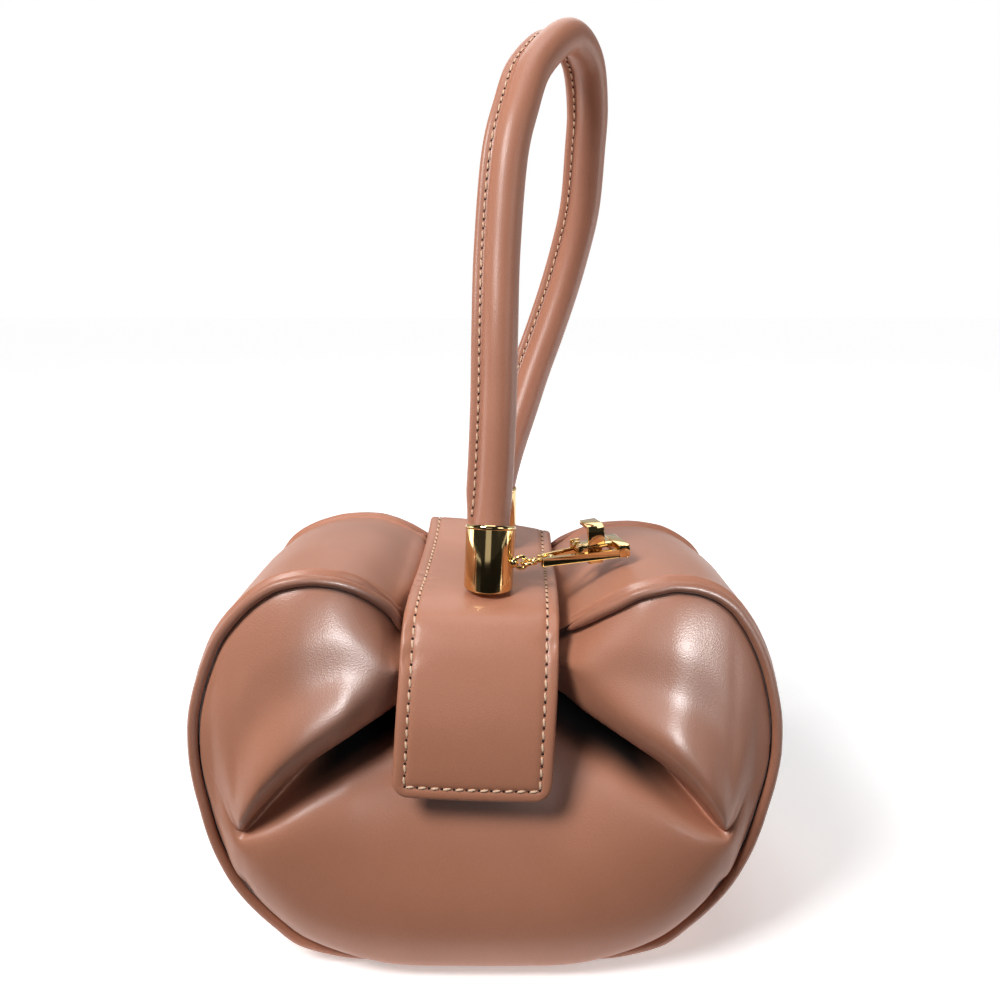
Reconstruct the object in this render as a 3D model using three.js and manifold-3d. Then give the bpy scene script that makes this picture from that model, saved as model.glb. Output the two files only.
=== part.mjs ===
import * as THREE from 'three';
import { mergeVertices } from 'three/addons/utils/BufferGeometryUtils.js';
import Module from 'manifold-3d';

const wasm = await Module();
wasm.setup();

// A small soft wristlet bag with a pinched top, a flap strap and a rolled handle.
// Millimetres. X runs to the right, minus Y is the front, Z is up.
// The middle of the flat base is at the origin.

// Driving sizes
const half_width = 96.6; // middle of the bag to the middle of the piping at the sides
const seam_half_depth = 58; // middle of the bag to the front seam, away from the pinch
const side_height = 82; // height of the widest place
const pinch_shift = 1; // the fold is a little to the right
const base_lean = 0.0215; // the lower half leans a little to the left
const piping_radius = 1.75;
const seam_gap = 2.5; // middle of the piping to the edge of each wall
const panel_thickness = 1.6;
const gusset_thickness = 2;
const strap_thickness = 3;
const strap_half_width = 26;
const strap_corner = 5.5; // corner radius at both ends of the strap
const handle_radius = 6.2;
const flange_reach = 10; // middle of the handle to the outer edge of its stitched flange
const flange_half_thickness = 1.6;
const ferrule_radius = 8.6;
const ferrule_height = 21.5;
const ferrule_bore = 7.6;
const ferrule_bore_depth = 12;
const front_foot = 129.9; // the leaning front ferrule is cut level at this height
const front_ferrule = new THREE.Matrix4().makeTranslation(0.9, -30, front_foot);
front_ferrule.multiply(new THREE.Matrix4().makeRotationY(THREE.MathUtils.degToRad(2.5)));
front_ferrule.multiply(new THREE.Matrix4().makeRotationX(THREE.MathUtils.degToRad(-14)));
const rear_ferrule = new THREE.Matrix4().makeTranslation(3, 32, 130.6);

// Rows of a table as objects with named columns
function table(columns, rows) {
  const names = columns.split(' ');
  return rows.map((row) => Object.fromEntries(names.map((name, k) => [name, row[k]])));
}

// Height of the front seam from left to right, and how far the pinch draws it back
const front_seam = table('x z pull', [
  [-half_width, side_height, 0],
  [-96.1, 92, 0],
  [-94, 102, 0],
  [-90.8, 111.5, 0],
  [-86.7, 120.5, 0],
  [-79.5, 129.7, 0],
  [-72.3, 136, 0],
  [-65.4, 139.6, 0],
  [-58.6, 141, 0.2],
  [-55.6, 141.2, 0.5],
  [-49, 140.4, 1.3],
  [-42.8, 138, 3.2],
  [-36.7, 133.6, 6.4],
  [-30.8, 126.6, 11.4],
  [-27, 118, 16.2],
  [-20, 118, 19],
  [-8, 116, 20.4],
  [8, 114.2, 20.4],
  [20, 114.6, 19],
  [25.4, 117, 16.8],
  [30.8, 122.3, 11.4],
  [37, 127.8, 6.4],
  [43.2, 132.2, 3.2],
  [49.3, 136.2, 1.3],
  [55.8, 138.2, 0.5],
  [60.9, 139.2, 0.2],
  [65.8, 138.9, 0],
  [72.6, 137, 0],
  [79.7, 132.3, 0],
  [83.3, 128, 0],
  [87, 122.2, 0],
  [91.4, 112.5, 0],
  [94.4, 102, 0],
  [96.2, 92, 0],
  [half_width, side_height, 0],
]);

// The same for the back seam, which stands lower and is drawn in less
const rear_seam = table('x z pull', [
  [-half_width, side_height, 0],
  [-95.8, 93, 0],
  [-93, 105, 0],
  [-88.6, 116, 0],
  [-82, 124.8, 0],
  [-73.4, 129.7, 0],
  [-66.8, 131.8, 0],
  [-60.6, 133.1, 0],
  [-54.2, 133.5, 0],
  [-47.8, 133.2, 0],
  [-41.6, 131.8, 0.6],
  [-35.2, 129.5, 1.8],
  [-29, 126.6, 3],
  [-20, 123.6, 4.6],
  [0, 120.4, 5],
  [20, 118.6, 4.6],
  [26, 120, 3.6],
  [32, 123.2, 2.4],
  [40.3, 126.5, 1],
  [49.3, 129, 0],
  [60.8, 129.7, 0],
  [72, 128.3, 0],
  [80, 125, 0],
  [88.2, 118.4, 0],
  [93.3, 107, 0],
  [95.9, 94, 0],
  [half_width, side_height, 0],
]);

// Height of the lower seam from the middle to either side
const lower_seam = table('x z', [
  [0, 4.2],
  [33, 4.3],
  [45, 5],
  [51.3, 6.2],
  [62.6, 9.9],
  [71.3, 17.4],
  [78.5, 25.1],
  [84, 32.8],
  [87.8, 40.4],
  [90.6, 47.8],
  [92.6, 55.2],
  [94.1, 62.6],
  [95.5, 69.9],
  [96.3, 76.5],
  [half_width, side_height],
]);

// Heights of the front panel's features, a row per upright section from the middle to either side:
// the lobe's brow, the fold's ridge, the roof, crease and pocket of the hollow, the lip and the belly
const fold_heights = table('x brow ridge roof crease pocket lip belly under foot', [
  [0, 108, 101, 99, 94, 89, 81, 33, 14, 5.2],
  [22, 107, 97.5, 95.5, 91, 86, 78, 33.5, 14, 5.4],
  [30, 104, 93.8, 91.5, 87, 82, 74.5, 34.6, 14.6, 6],
  [46, 96.5, 86.6, 84.4, 80, 75.5, 68, 37.4, 17.5, 9.4],
  [64, 85.5, 75.6, 73.4, 69.4, 65.6, 60.5, 42.5, 24.5, 16.5],
  [73, 76, 67.3, 65.4, 62.4, 59.8, 56.4, 47, 31.5, 24],
  [79.5, 66, 59.6, 58.4, 57, 55.8, 54.4, 50, 37.6, 31],
  [83, 60, 56, 55.6, 55, 54.3, 53.3, 51, 41, 36],
  [half_width, 60, 56, 55.6, 55, 54.3, 53.3, 51, 41, 36],
]);

// How far the same features stand out from the middle of the bag
const fold_depths = table('x lobe brow ridge roof crease pocket lip belly under foot', [
  [0, 40, 41, 38, 28, 20, 36, 50, 69.5, 69.4, 65],
  [22, 47.7, 46.8, 42, 30, 20, 37, 51, 69.5, 69.4, 65],
  [30, 57, 55.5, 49.5, 37, 24, 40.5, 54, 69.5, 69.2, 65],
  [39, 61, 62.6, 55.5, 42, 27.5, 45, 57.8, 69.4, 69, 64.8],
  [46, 63.2, 67.3, 59.3, 46, 31, 49, 60.8, 69.3, 68.6, 64.4],
  [64, 66.6, 72.4, 63.2, 55, 46, 58, 65.4, 68.9, 67.2, 63],
  [73, 66, 72, 64.2, 59.4, 55, 61.6, 66.4, 68.2, 66, 62.4],
  [79.5, 65.6, 69.6, 64.8, 63, 61.6, 63.8, 65.8, 66.8, 64.8, 61.6],
  [84, 64.6, 66.2, 64.6, 64.2, 63.8, 64.2, 64.8, 65, 63.4, 60.8],
  [88, 62.8, 63.2, 62.8, 62.6, 62.5, 62.6, 62.7, 62.6, 61.6, 59.8],
  [92, 60.6, 60.6, 60.5, 60.4, 60.4, 60.4, 60.4, 60.3, 59.8, 58.9],
  [half_width, 58.3, 58.3, 58.3, 58.3, 58.3, 58.3, 58.3, 58.3, 58.3, 58.3],
]);

// At the sides the features lie at these shares from the top seam (0) to the bottom seam (1) instead
const side_shares = {
  brow: 0.5,
  ridge: 0.6,
  roof: 0.63,
  crease: 0.66,
  pocket: 0.7,
  lip: 0.75,
  belly: 0.82,
  under: 0.9,
  foot: 0.96,
};

// Middle of the strap's thickness, from the tip of the flap over the top to its end on the back
const strap_path = [
  { x: -4.4, y: -67.6, z: 69 },
  { x: -3.6, y: -66.2, z: 80 },
  { x: -2.8, y: -63, z: 95 },
  { x: -2, y: -58, z: 108.5 },
  { x: -1.6, y: -52.5, z: 118.2 },
  { x: -1.2, y: -46.5, z: 124 },
  { x: -0.9, y: -38, z: 126.2 },
  { x: -0.6, y: -28, z: 127 },
  { x: 0, y: 0, z: 126.6 },
  { x: 0.5, y: 30, z: 126.6 },
  { x: 0.8, y: 44, z: 128.6 },
  { x: 0.9, y: 54.5, z: 130 },
  { x: 1, y: 62, z: 126.5 },
  { x: 1, y: 66.5, z: 117 },
  { x: 1, y: 68.5, z: 100 },
  { x: 1, y: 69.5, z: 84 },
  { x: 1, y: 70.2, z: 70 },
];

// Middle of the rolled handle, from inside the front ferrule to inside the rear one
const handle_path = [
  { x: 1.4, y: -27.4, z: 140.2 },
  { x: 1.8, y: -25.3, z: 148.6 },
  { x: 3, y: -22.8, z: 160 },
  { x: 4.6, y: -18.4, z: 190.7 },
  { x: 5.1, y: -14, z: 217.4 },
  { x: 5.9, y: -7, z: 244.3 },
  { x: 8.8, y: 0, z: 277.8 },
  { x: 12.1, y: 5, z: 291.6 },
  { x: 17.6, y: 15, z: 307.8 },
  { x: 31, y: 34, z: 322 },
  { x: 38.4, y: 46, z: 316.5 },
  { x: 41.4, y: 54, z: 300.5 },
  { x: 41, y: 57, z: 285.3 },
  { x: 39.4, y: 59.5, z: 262.4 },
  { x: 36, y: 60.5, z: 246.5 },
  { x: 31.4, y: 60, z: 230.2 },
  { x: 25.8, y: 58, z: 213.6 },
  { x: 19.6, y: 54.5, z: 196.8 },
  { x: 13.8, y: 49, z: 179.8 },
  { x: 8.2, y: 42, z: 163.6 },
  { x: 4.4, y: 33, z: 149 },
  { x: 4.2, y: 32, z: 141.5 },
];

// Clip: sizes along its length, from the nose at 0 to the bar at the far end
const clip_place = new THREE.Vector3(18.6, -29, 139.2);
const clip_turn = THREE.MathUtils.degToRad(14.4);
const clip_rise = THREE.MathUtils.degToRad(5.5);
const frame_length = 30;
const nose_half_width = 3;
const bar_half_width = 7.6;
const rail_width = 1.3;
const frame_thickness = 2.8;
const window_start = 2.4;
const window_end = 26.8;
const hinge_at = 14.8;
const hinge_height = 2.6;
const pin_radius = 0.7;
const pin_clearance = 0.08;
const barrel_radius = 1.7;
const lever_half_width = 3.4;
const tab_start = 17.5;
const tab_length = 6;
const tab_height = 10.4;
const swivel_ring_radius = 2.1;
const swivel_wire = 0.7;
const swivel_ring_at = -4;

// Colours
const leather_colour = '#b37a64';
const gold_colour = '#d9b26a';

// Smooth value of one column of a table at the place x, by a curve that never overshoots its rows.
// The places are spread as on a round outline, so that a seam can turn upright at the side.
// A table that starts in the middle of the bag holds for both sides.
function spread(x) {
  return (2 / Math.PI) * Math.asin(THREE.MathUtils.clamp(x / half_width, -1, 1));
}

function column_value(rows, column, x) {
  const both_sides = rows[0].x === 0;
  const at = spread(both_sides ? Math.abs(x) : x);
  const places = rows.map((row) => spread(row.x));
  const last = rows.length - 1;
  const rise = (k) => (rows[k + 1][column] - rows[k][column]) / (places[k + 1] - places[k]);
  const slope = (k) => {
    if (k === 0) return both_sides ? 0 : rise(0);
    if (k === last) return rise(last - 1);
    const before = rise(k - 1);
    const after = rise(k);
    return before * after <= 0 ? 0 : (2 * before * after) / (before + after);
  };
  let k = 0;
  while (k < last - 1 && at > places[k + 1]) k += 1;
  const span = places[k + 1] - places[k];
  const t = THREE.MathUtils.clamp((at - places[k]) / span, 0, 1);
  const a = rows[k][column];
  const b = rows[k + 1][column];
  const bend = t * t * (3 - 2 * t);
  const start = t * (1 - t) * (1 - t) * span * slope(k);
  const end = t * t * (1 - t) * span * slope(k + 1);
  return a + (b - a) * bend + start - end;
}

// Place across the bag for a share from -1 at the left side to 1 at the right side
function width_at(share) {
  return half_width * Math.sin((Math.PI / 2) * share);
}

function shifted(x) {
  return x - pinch_shift * (1 - (x / half_width) ** 2);
}

// Seam point in the upright plane: side is 'upper' or 'lower', rear is true for the back seam
function seam_point(side, share, rear) {
  const x = width_at(share);
  const upper = rear ? rear_seam : front_seam;
  const z = column_value(side === 'upper' ? upper : lower_seam, 'z', x);
  return new THREE.Vector2(x + base_lean * Math.min(0, z - side_height), z);
}

function seam_depth(side, share, rear) {
  if (side === 'lower') return seam_half_depth;
  return seam_half_depth - column_value(rear ? rear_seam : front_seam, 'pull', width_at(share));
}

// Direction out of the outline at a seam point
function seam_outward(side, share, rear) {
  const step = 0.004;
  const a = seam_point(side, Math.max(-1, share - step), rear);
  const b = seam_point(side, Math.min(1, share + step), rear);
  const along = b.sub(a).normalize();
  return side === 'upper' ? new THREE.Vector2(-along.y, along.x) : new THREE.Vector2(along.y, -along.x);
}

// Closed solid between an outer and an inner grid of points; wrap joins the last row to the first
function wall_between(outer, inner, wrap) {
  const rows = outer.length;
  const columns = outer[0].length;
  const positions = [...outer.flat(), ...inner.flat()].flatMap((p) => [p.x, p.y, p.z]);
  const triangles = [];
  const out = (i, j) => (i % rows) * columns + j;
  const back = (i, j) => rows * columns + out(i, j);
  const quad = (a, b, c, d) => triangles.push(a, b, c, a, c, d);
  const row_steps = wrap ? rows : rows - 1;
  const edge = columns - 1;
  for (let i = 0; i < row_steps; i += 1) {
    for (let j = 0; j < edge; j += 1) {
      quad(out(i, j), out(i + 1, j), out(i + 1, j + 1), out(i, j + 1));
      quad(back(i, j), back(i, j + 1), back(i + 1, j + 1), back(i + 1, j));
    }
    quad(back(i, 0), back(i + 1, 0), out(i + 1, 0), out(i, 0));
    quad(out(i, edge), out(i + 1, edge), back(i + 1, edge), back(i, edge));
  }
  const end = rows - 1;
  for (let j = 0; j < edge && !wrap; j += 1) {
    quad(out(0, j), out(0, j + 1), back(0, j + 1), back(0, j));
    quad(back(end, j), back(end, j + 1), out(end, j + 1), out(end, j));
  }
  const geometry = new THREE.BufferGeometry();
  geometry.setAttribute('position', new THREE.Float32BufferAttribute(positions, 3));
  geometry.setIndex(triangles);
  return geometry;
}

// The same grid moved square to its surface by a distance
function moved_grid(grid, distance, wrap) {
  const rows = grid.length;
  const columns = grid[0].length;
  return grid.map((row, i) => row.map((point, j) => {
    const before = grid[wrap ? (i + rows - 1) % rows : Math.max(0, i - 1)][j];
    const after = grid[wrap ? (i + 1) % rows : Math.min(rows - 1, i + 1)][j];
    const along = after.clone().sub(before);
    const across = row[Math.min(columns - 1, j + 1)].clone().sub(row[Math.max(0, j - 1)]);
    return along.cross(across).normalize().multiplyScalar(distance).add(point);
  }));
}

// A solid faces out when its volume is above zero; the other way round its triangles are turned
function facing_out(geometry) {
  const index = geometry.index.array;
  const place = geometry.attributes.position;
  const corner = (k) => new THREE.Vector3().fromBufferAttribute(place, index[k]);
  let volume = 0;
  for (let k = 0; k < index.length; k += 3) volume += corner(k).dot(corner(k + 1).cross(corner(k + 2)));
  if (volume < 0) {
    for (let k = 0; k < index.length; k += 3) [index[k + 1], index[k + 2]] = [index[k + 2], index[k + 1]];
  }
  return geometry;
}

// Panel: upright sections from the left side to the right side, each a smooth curve through its row,
// with a fixed number of steps between two features so that the ridge and the lip stay whole lines
const inner_shares = [0, 0.09, 0.145, 0.18, 0.215, 0.26, 0.31, 0.37, 0.43];
const outer_shares = [0.5, 0.57, 0.64, 0.72, 0.81, 0.91, 0.985];
const section_shares = [...inner_shares, ...outer_shares];
const section_steps = [1, 1, 2, 2, 2, 2, 2, 2, 3, 2, 1, 1];

function panel_section(share, rear) {
  const inset = (side) => {
    const point = seam_point(side, share, rear);
    return point.addScaledVector(seam_outward(side, share, rear), -seam_gap);
  };
  const top = inset('upper');
  const bottom = inset('lower');
  const x = shifted(width_at(share));
  const seam = seam_depth('upper', share, rear);
  const side_part = THREE.MathUtils.smoothstep(Math.abs(x), 81, 91);
  const at = {};
  const depth = { lobe: column_value(fold_depths, 'lobe', x) };
  for (const [name, side_share] of Object.entries(side_shares)) {
    let height = column_value(fold_heights, name, x);
    if (rear) height *= THREE.MathUtils.lerp(1, 0.94, THREE.MathUtils.smoothstep(height, 60, 110));
    const down = (top.y - height) / (top.y - bottom.y);
    at[name] = THREE.MathUtils.lerp(down, side_share, side_part);
    depth[name] = column_value(fold_depths, name, x);
  }
  if (rear) {
    for (const name of ['lobe', 'brow', 'ridge']) depth[name] = Math.max(depth[name], seam + 1);
    for (const name of ['roof', 'crease', 'pocket', 'lip']) {
      depth[name] = THREE.MathUtils.lerp(Math.max(depth.ridge, depth.lip), depth[name], 0.45);
    }
  }
  const point = (down, out) => {
    const flat = top.clone().lerp(bottom, down);
    return new THREE.Vector3(flat.x, rear ? out : -out, flat.y);
  };
  const curve = new THREE.CatmullRomCurve3([
    point(0, seam),
    point(0.3 * at.brow, seam + 0.7 * (depth.lobe - seam)),
    point(0.62 * at.brow, depth.lobe),
    ...Object.keys(side_shares).map((name) => point(at[name], depth[name])),
    point(1, seam_half_depth),
  ], false, 'centripetal');
  const spans = section_steps.length;
  const places = section_steps.flatMap((steps, span) => (
    Array.from({ length: steps }, (_, k) => (span + k / steps) / spans)
  ));
  return [...places, 1].map((place) => curve.getPoint(place));
}

function panel(rear) {
  const left = section_shares.slice(1).reverse().map((share) => -share);
  const outer = [...left, ...section_shares].map((share) => panel_section(share, rear));
  const inner = moved_grid(outer, rear ? -panel_thickness : panel_thickness, false);
  return facing_out(wall_between(outer, inner, false));
}

// Outline of the bag as a closed list of seam places, over the top from left to right and back below
const outline_steps = 32;
const outline = [];
for (let k = 0; k < outline_steps; k += 1) {
  outline.push({ side: 'upper', share: -1 + (2 * k) / outline_steps });
}
for (let k = 0; k < outline_steps; k += 1) {
  outline.push({ side: 'lower', share: 1 - (2 * k) / outline_steps });
}

// Gusset: a band round the outline with a soft roll beside each seam, round sides and a flat base
const front_places = [0, 0.013, 0.025, 0.038, 0.06, 0.11, 0.24];
const rear_places = front_places.map((place) => 1 - place).reverse();
const gusset_places = [...front_places, 0.5, ...rear_places];

function gusset_row({ side, share }) {
  const front = seam_point(side, share, false);
  const rear = seam_point(side, share, true);
  const outward = seam_outward(side, share, false);
  const drawn = seam_half_depth - seam_depth(side, share, false);
  const room = seam_gap + 0.1 * Math.min(drawn, 22 - drawn);
  const front_y = -seam_depth(side, share, false) + Math.max(seam_gap, room);
  const rear_y = seam_depth(side, share, true) - seam_gap;
  const downward = THREE.MathUtils.smoothstep(-outward.y, 0.2, 0.8);
  const upward = THREE.MathUtils.smoothstep(outward.y, 0.1, 0.7);
  const under_strap = upward * (1 - THREE.MathUtils.smoothstep(Math.abs(front.x), 27, 44));
  const top_swell = 1.6 * (1 - under_strap);
  const swell = THREE.MathUtils.lerp(THREE.MathUtils.lerp(4.6, top_swell, upward), 4.2, downward);
  const swell_width = THREE.MathUtils.lerp(24, 40, upward);
  return gusset_places.map((across) => {
    const from_seam = Math.min(across, 1 - across) * 106;
    const welt = 2.3 * (1 - downward) * (1 - under_strap);
    const roll = welt * Math.exp(-(((from_seam - 2.6) / 1.8) ** 2));
    const rise = (1.2 - 0.6 * under_strap) * THREE.MathUtils.smoothstep(from_seam, 0, 8);
    const middle = swell * THREE.MathUtils.smoothstep(from_seam, 3, swell_width);
    const flat = front.clone().lerp(rear, across).addScaledVector(outward, roll + rise + middle);
    return new THREE.Vector3(flat.x, THREE.MathUtils.lerp(front_y, rear_y, across), Math.max(0, flat.y));
  });
}

function gusset() {
  const outer = outline.map(gusset_row);
  const inner = moved_grid(outer, -gusset_thickness, true);
  return facing_out(wall_between(outer, inner, true));
}

// Piping: a round cord along the seam; its ends lie under the strap
function piping(rear) {
  const left_end = -0.165;
  const right_end = 0.165;
  const places = [];
  for (let k = 0; k <= 26; k += 1) places.push(['upper', left_end - (1 + left_end) * (k / 27)]);
  for (let k = 0; k <= 48; k += 1) places.push(['lower', -1 + (2 * k) / 48]);
  for (let k = 1; k <= 27; k += 1) places.push(['upper', 1 - (1 - right_end) * (k / 27)]);
  const points = places.map(([side, share]) => {
    const flat = seam_point(side, share, rear);
    const depth = seam_depth(side, share, rear);
    return new THREE.Vector3(flat.x, rear ? depth : -depth, flat.y);
  });
  const path = new THREE.CatmullRomCurve3(points, false, 'centripetal');
  const ring = new THREE.Shape().absarc(0, 0, piping_radius, 0, 2 * Math.PI, false);
  const settings = { steps: 84, extrudePath: path, curveSegments: 4, bevelEnabled: false };
  return new THREE.ExtrudeGeometry(ring, settings);
}

function curve_through(rows) {
  return new THREE.CatmullRomCurve3(rows.map((row) => new THREE.Vector3(row.x, row.y, row.z)));
}

// Strap: a flat band along its path; behind, its top rolls down to the right
function strap() {
  const path = curve_through(strap_path);
  const length = path.getLength();
  const end_rows = [0, 0.5, 1.5, strap_corner];
  const middle_steps = 26;
  const places = end_rows.map((d) => d / length);
  const end_share = strap_corner / length;
  for (let k = 1; k < middle_steps; k += 1) {
    places.push(THREE.MathUtils.lerp(end_share, 1 - end_share, k / middle_steps));
  }
  places.push(...end_rows.slice().reverse().map((d) => 1 - d / length));
  const across = [-1, -0.8, -0.4, 0, 0.4, 0.8, 1];
  const middle = places.map((place) => {
    const centre = path.getPointAt(place);
    const from_end = Math.min(place, 1 - place) * length;
    const corner = Math.max(0, strap_corner - from_end);
    const half = strap_half_width - strap_corner + Math.sqrt(strap_corner ** 2 - corner ** 2);
    const on_top = THREE.MathUtils.smoothstep(centre.z, 100, 122);
    const behind = THREE.MathUtils.smoothstep(centre.y, -25, 45);
    return across.map((v) => {
      const roll = on_top * THREE.MathUtils.lerp(-0.5 * v, -3.4 * v - 1.2 * (v * v - 0.3), behind);
      return new THREE.Vector3(centre.x + v * half, centre.y, centre.z + roll);
    });
  });
  const outer = moved_grid(middle, strap_thickness / 2, false);
  const inner = moved_grid(middle, -strap_thickness / 2, false);
  return facing_out(wall_between(outer, inner, false));
}

// Solids for joining and cutting
function solid(geometry) {
  const plain = geometry.clone();
  plain.deleteAttribute('normal');
  plain.deleteAttribute('uv');
  const merged = mergeVertices(plain, 1e-4);
  const vertProperties = new Float32Array(merged.attributes.position.array);
  const triVerts = new Uint32Array(merged.index.array);
  return new wasm.Manifold(new wasm.Mesh({ numProp: 3, vertProperties, triVerts }));
}

function geometry_of(manifold) {
  const mesh = manifold.getMesh();
  const geometry = new THREE.BufferGeometry();
  geometry.setAttribute('position', new THREE.BufferAttribute(mesh.vertProperties, 3));
  geometry.setIndex(new THREE.BufferAttribute(mesh.triVerts, 1));
  return geometry;
}

function block(x0, x1, y0, y1, z0, z1) {
  const box = new THREE.BoxGeometry(x1 - x0, y1 - y0, z1 - z0);
  return solid(box.translate((x0 + x1) / 2, (y0 + y1) / 2, (z0 + z1) / 2));
}

function rod_along_y(radius, y0, y1, x, z, segments) {
  const rod = new THREE.CylinderGeometry(radius, radius, y1 - y0, segments);
  return solid(rod.translate(x, (y0 + y1) / 2, z));
}

function rod_along_x(radius, x0, x1, segments) {
  const rod = new THREE.CylinderGeometry(radius, radius, x1 - x0, segments).rotateZ(Math.PI / 2);
  return solid(rod.translate((x0 + x1) / 2, 0, 0));
}

function cylinder_on(base, radius, height, segments) {
  const cylinder = new THREE.CylinderGeometry(radius, radius, height, segments).rotateX(Math.PI / 2);
  return solid(cylinder.translate(0, 0, height / 2).applyMatrix4(base));
}

// Path whose sections all keep their first axis to the left, so that the flange doesn't turn round the tube
class LeftLeaningPath extends THREE.CatmullRomCurve3 {
  computeFrenetFrames(segments) {
    const frames = { tangents: [], normals: [], binormals: [] };
    for (let k = 0; k <= segments; k += 1) {
      const along = this.getTangentAt(k / segments);
      const left = new THREE.Vector3(-1, 0, 0);
      left.addScaledVector(along, -left.dot(along)).normalize();
      frames.tangents.push(along);
      frames.normals.push(left);
      frames.binormals.push(along.clone().cross(left));
    }
    return frames;
  }
}

// Handle: a rolled tube with a stitched flange on its left, trimmed to go into the ferrules
function handle() {
  const open = Math.asin(flange_half_thickness / handle_radius);
  const section = new THREE.Shape();
  section.absarc(0, 0, handle_radius, open, 2 * Math.PI - open, false);
  section.lineTo(flange_reach - flange_half_thickness, -flange_half_thickness);
  const edge_middle = flange_reach - flange_half_thickness;
  section.absarc(edge_middle, 0, flange_half_thickness, -Math.PI / 2, Math.PI / 2, false);
  const path = new LeftLeaningPath(handle_path.map((row) => new THREE.Vector3(row.x, row.y, row.z)));
  const settings = { steps: 44, extrudePath: path, curveSegments: 5, bevelEnabled: false };
  let trimmed = solid(new THREE.ExtrudeGeometry(section, settings));
  for (const base of [front_ferrule, rear_ferrule]) {
    const zone = cylinder_on(base, 16, ferrule_height + 0.4, 40);
    const kept = cylinder_on(base, ferrule_bore - 0.35, ferrule_height + 1, 40);
    trimmed = trimmed.subtract(zone.subtract(kept));
  }
  return geometry_of(trimmed);
}

// Ferrule: a drawn cup with a thin rim at its mouth
function ferrule_cup(base, foot) {
  const floor = ferrule_height - ferrule_bore_depth;
  const profile = [
    [0, foot],
    [ferrule_radius - 0.4, foot],
    [ferrule_radius, foot + 0.4],
    [ferrule_radius, ferrule_height - 1.4],
    [ferrule_radius + 0.25, ferrule_height - 1.1],
    [ferrule_radius + 0.25, ferrule_height - 0.3],
    [ferrule_radius - 0.1, ferrule_height],
    [ferrule_bore, ferrule_height],
    [ferrule_bore, floor],
    [0, floor],
  ];
  const outline_points = profile.map(([r, h]) => new THREE.Vector2(r, h));
  const cup = new THREE.LatheGeometry(outline_points, 32).rotateX(Math.PI / 2);
  return solid(cup.applyMatrix4(base));
}

const turned = new THREE.Matrix4().makeRotationZ(clip_turn);
const raised = new THREE.Matrix4().makeRotationY(-clip_rise);
const clip_matrix = new THREE.Matrix4().makeTranslation(clip_place).multiply(turned).multiply(raised);

function placed(manifold) {
  return geometry_of(manifold).applyMatrix4(clip_matrix);
}

// Front ferrule with the small eye soldered to its right side; the swivel's ring hangs in the eye
function front_ferrule_solid() {
  const ring = new THREE.Vector3(swivel_ring_at, 0, 0).applyMatrix4(clip_matrix);
  const eye = new THREE.Vector3(ring.x - 2.4, ring.y, ring.z);
  const loop = new THREE.TorusGeometry(swivel_ring_radius, 0.7, 8, 16).rotateX(Math.PI / 2);
  const knob = new THREE.SphereGeometry(1.9, 12, 8);
  const below = solid(new THREE.BoxGeometry(40, 40, 10).translate(0.9, -30, front_foot - 5));
  const cup = ferrule_cup(front_ferrule, -3).subtract(below);
  const outside = cylinder_on(front_ferrule, ferrule_bore + 0.3, ferrule_height + 2, 32);
  const knob_solid = solid(knob.translate(eye.x - 2.7, eye.y, eye.z));
  const stud = knob_solid.add(solid(loop.translate(eye.x, eye.y, eye.z)));
  return geometry_of(cup.add(stud.subtract(outside)));
}

// Swivel: a ring, a neck through the nose of the frame and a head behind it
function clip_swivel() {
  const ring = new THREE.TorusGeometry(swivel_ring_radius, swivel_wire, 8, 16);
  ring.translate(swivel_ring_at, 0, 0);
  const neck_start = swivel_ring_at + swivel_ring_radius;
  const neck = rod_along_x(0.8, neck_start, 3.6, 14);
  const collar = solid(new THREE.SphereGeometry(1.4, 12, 8).translate(-1.75, 0, 0));
  const head = solid(new THREE.SphereGeometry(1.5, 12, 8).translate(4.2, 0, 0));
  return placed(solid(ring).add(neck).add(collar).add(head));
}

function half_width_at(along) {
  return nose_half_width + ((bar_half_width - nose_half_width) * along) / frame_length;
}

// Frame: two spreading rails between a drilled nose and a raised end bar, with ears and a hinge pin
function clip_frame() {
  const plan = new THREE.Shape();
  plan.moveTo(0, -nose_half_width);
  plan.lineTo(frame_length, -bar_half_width);
  plan.lineTo(frame_length, bar_half_width);
  plan.lineTo(0, nose_half_width);
  plan.closePath();
  const start_half = half_width_at(window_start) - rail_width;
  const end_half = half_width_at(window_end) - rail_width;
  const window = new THREE.Path();
  window.moveTo(window_start, -start_half);
  window.lineTo(window_start, start_half);
  window.lineTo(window_end, end_half);
  window.lineTo(window_end, -end_half);
  window.closePath();
  plan.holes.push(window);
  const plate = new THREE.ExtrudeGeometry(plan, { depth: frame_thickness, bevelEnabled: false });
  let frame = solid(plate.translate(0, 0, -frame_thickness / 2));
  frame = frame.subtract(rod_along_x(1.15, -1, window_start + 1, 20));
  const bar_half = bar_half_width + 0.2;
  frame = frame.add(block(window_end + 0.2, frame_length + 1, -bar_half, bar_half, -1.6, 3));
  const ear_outer = half_width_at(hinge_at - 1.8);
  const ear_inner = half_width_at(hinge_at + 1.8) - rail_width;
  const ear = block(hinge_at - 1.8, hinge_at + 1.8, ear_inner, ear_outer, 0, hinge_height + 1.8);
  frame = frame.add(ear).add(ear.mirror([0, 1, 0]));
  frame = frame.add(rod_along_y(pin_radius, -ear_outer + 0.4, ear_outer - 0.4, hinge_at, hinge_height, 24));
  return placed(frame);
}

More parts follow.
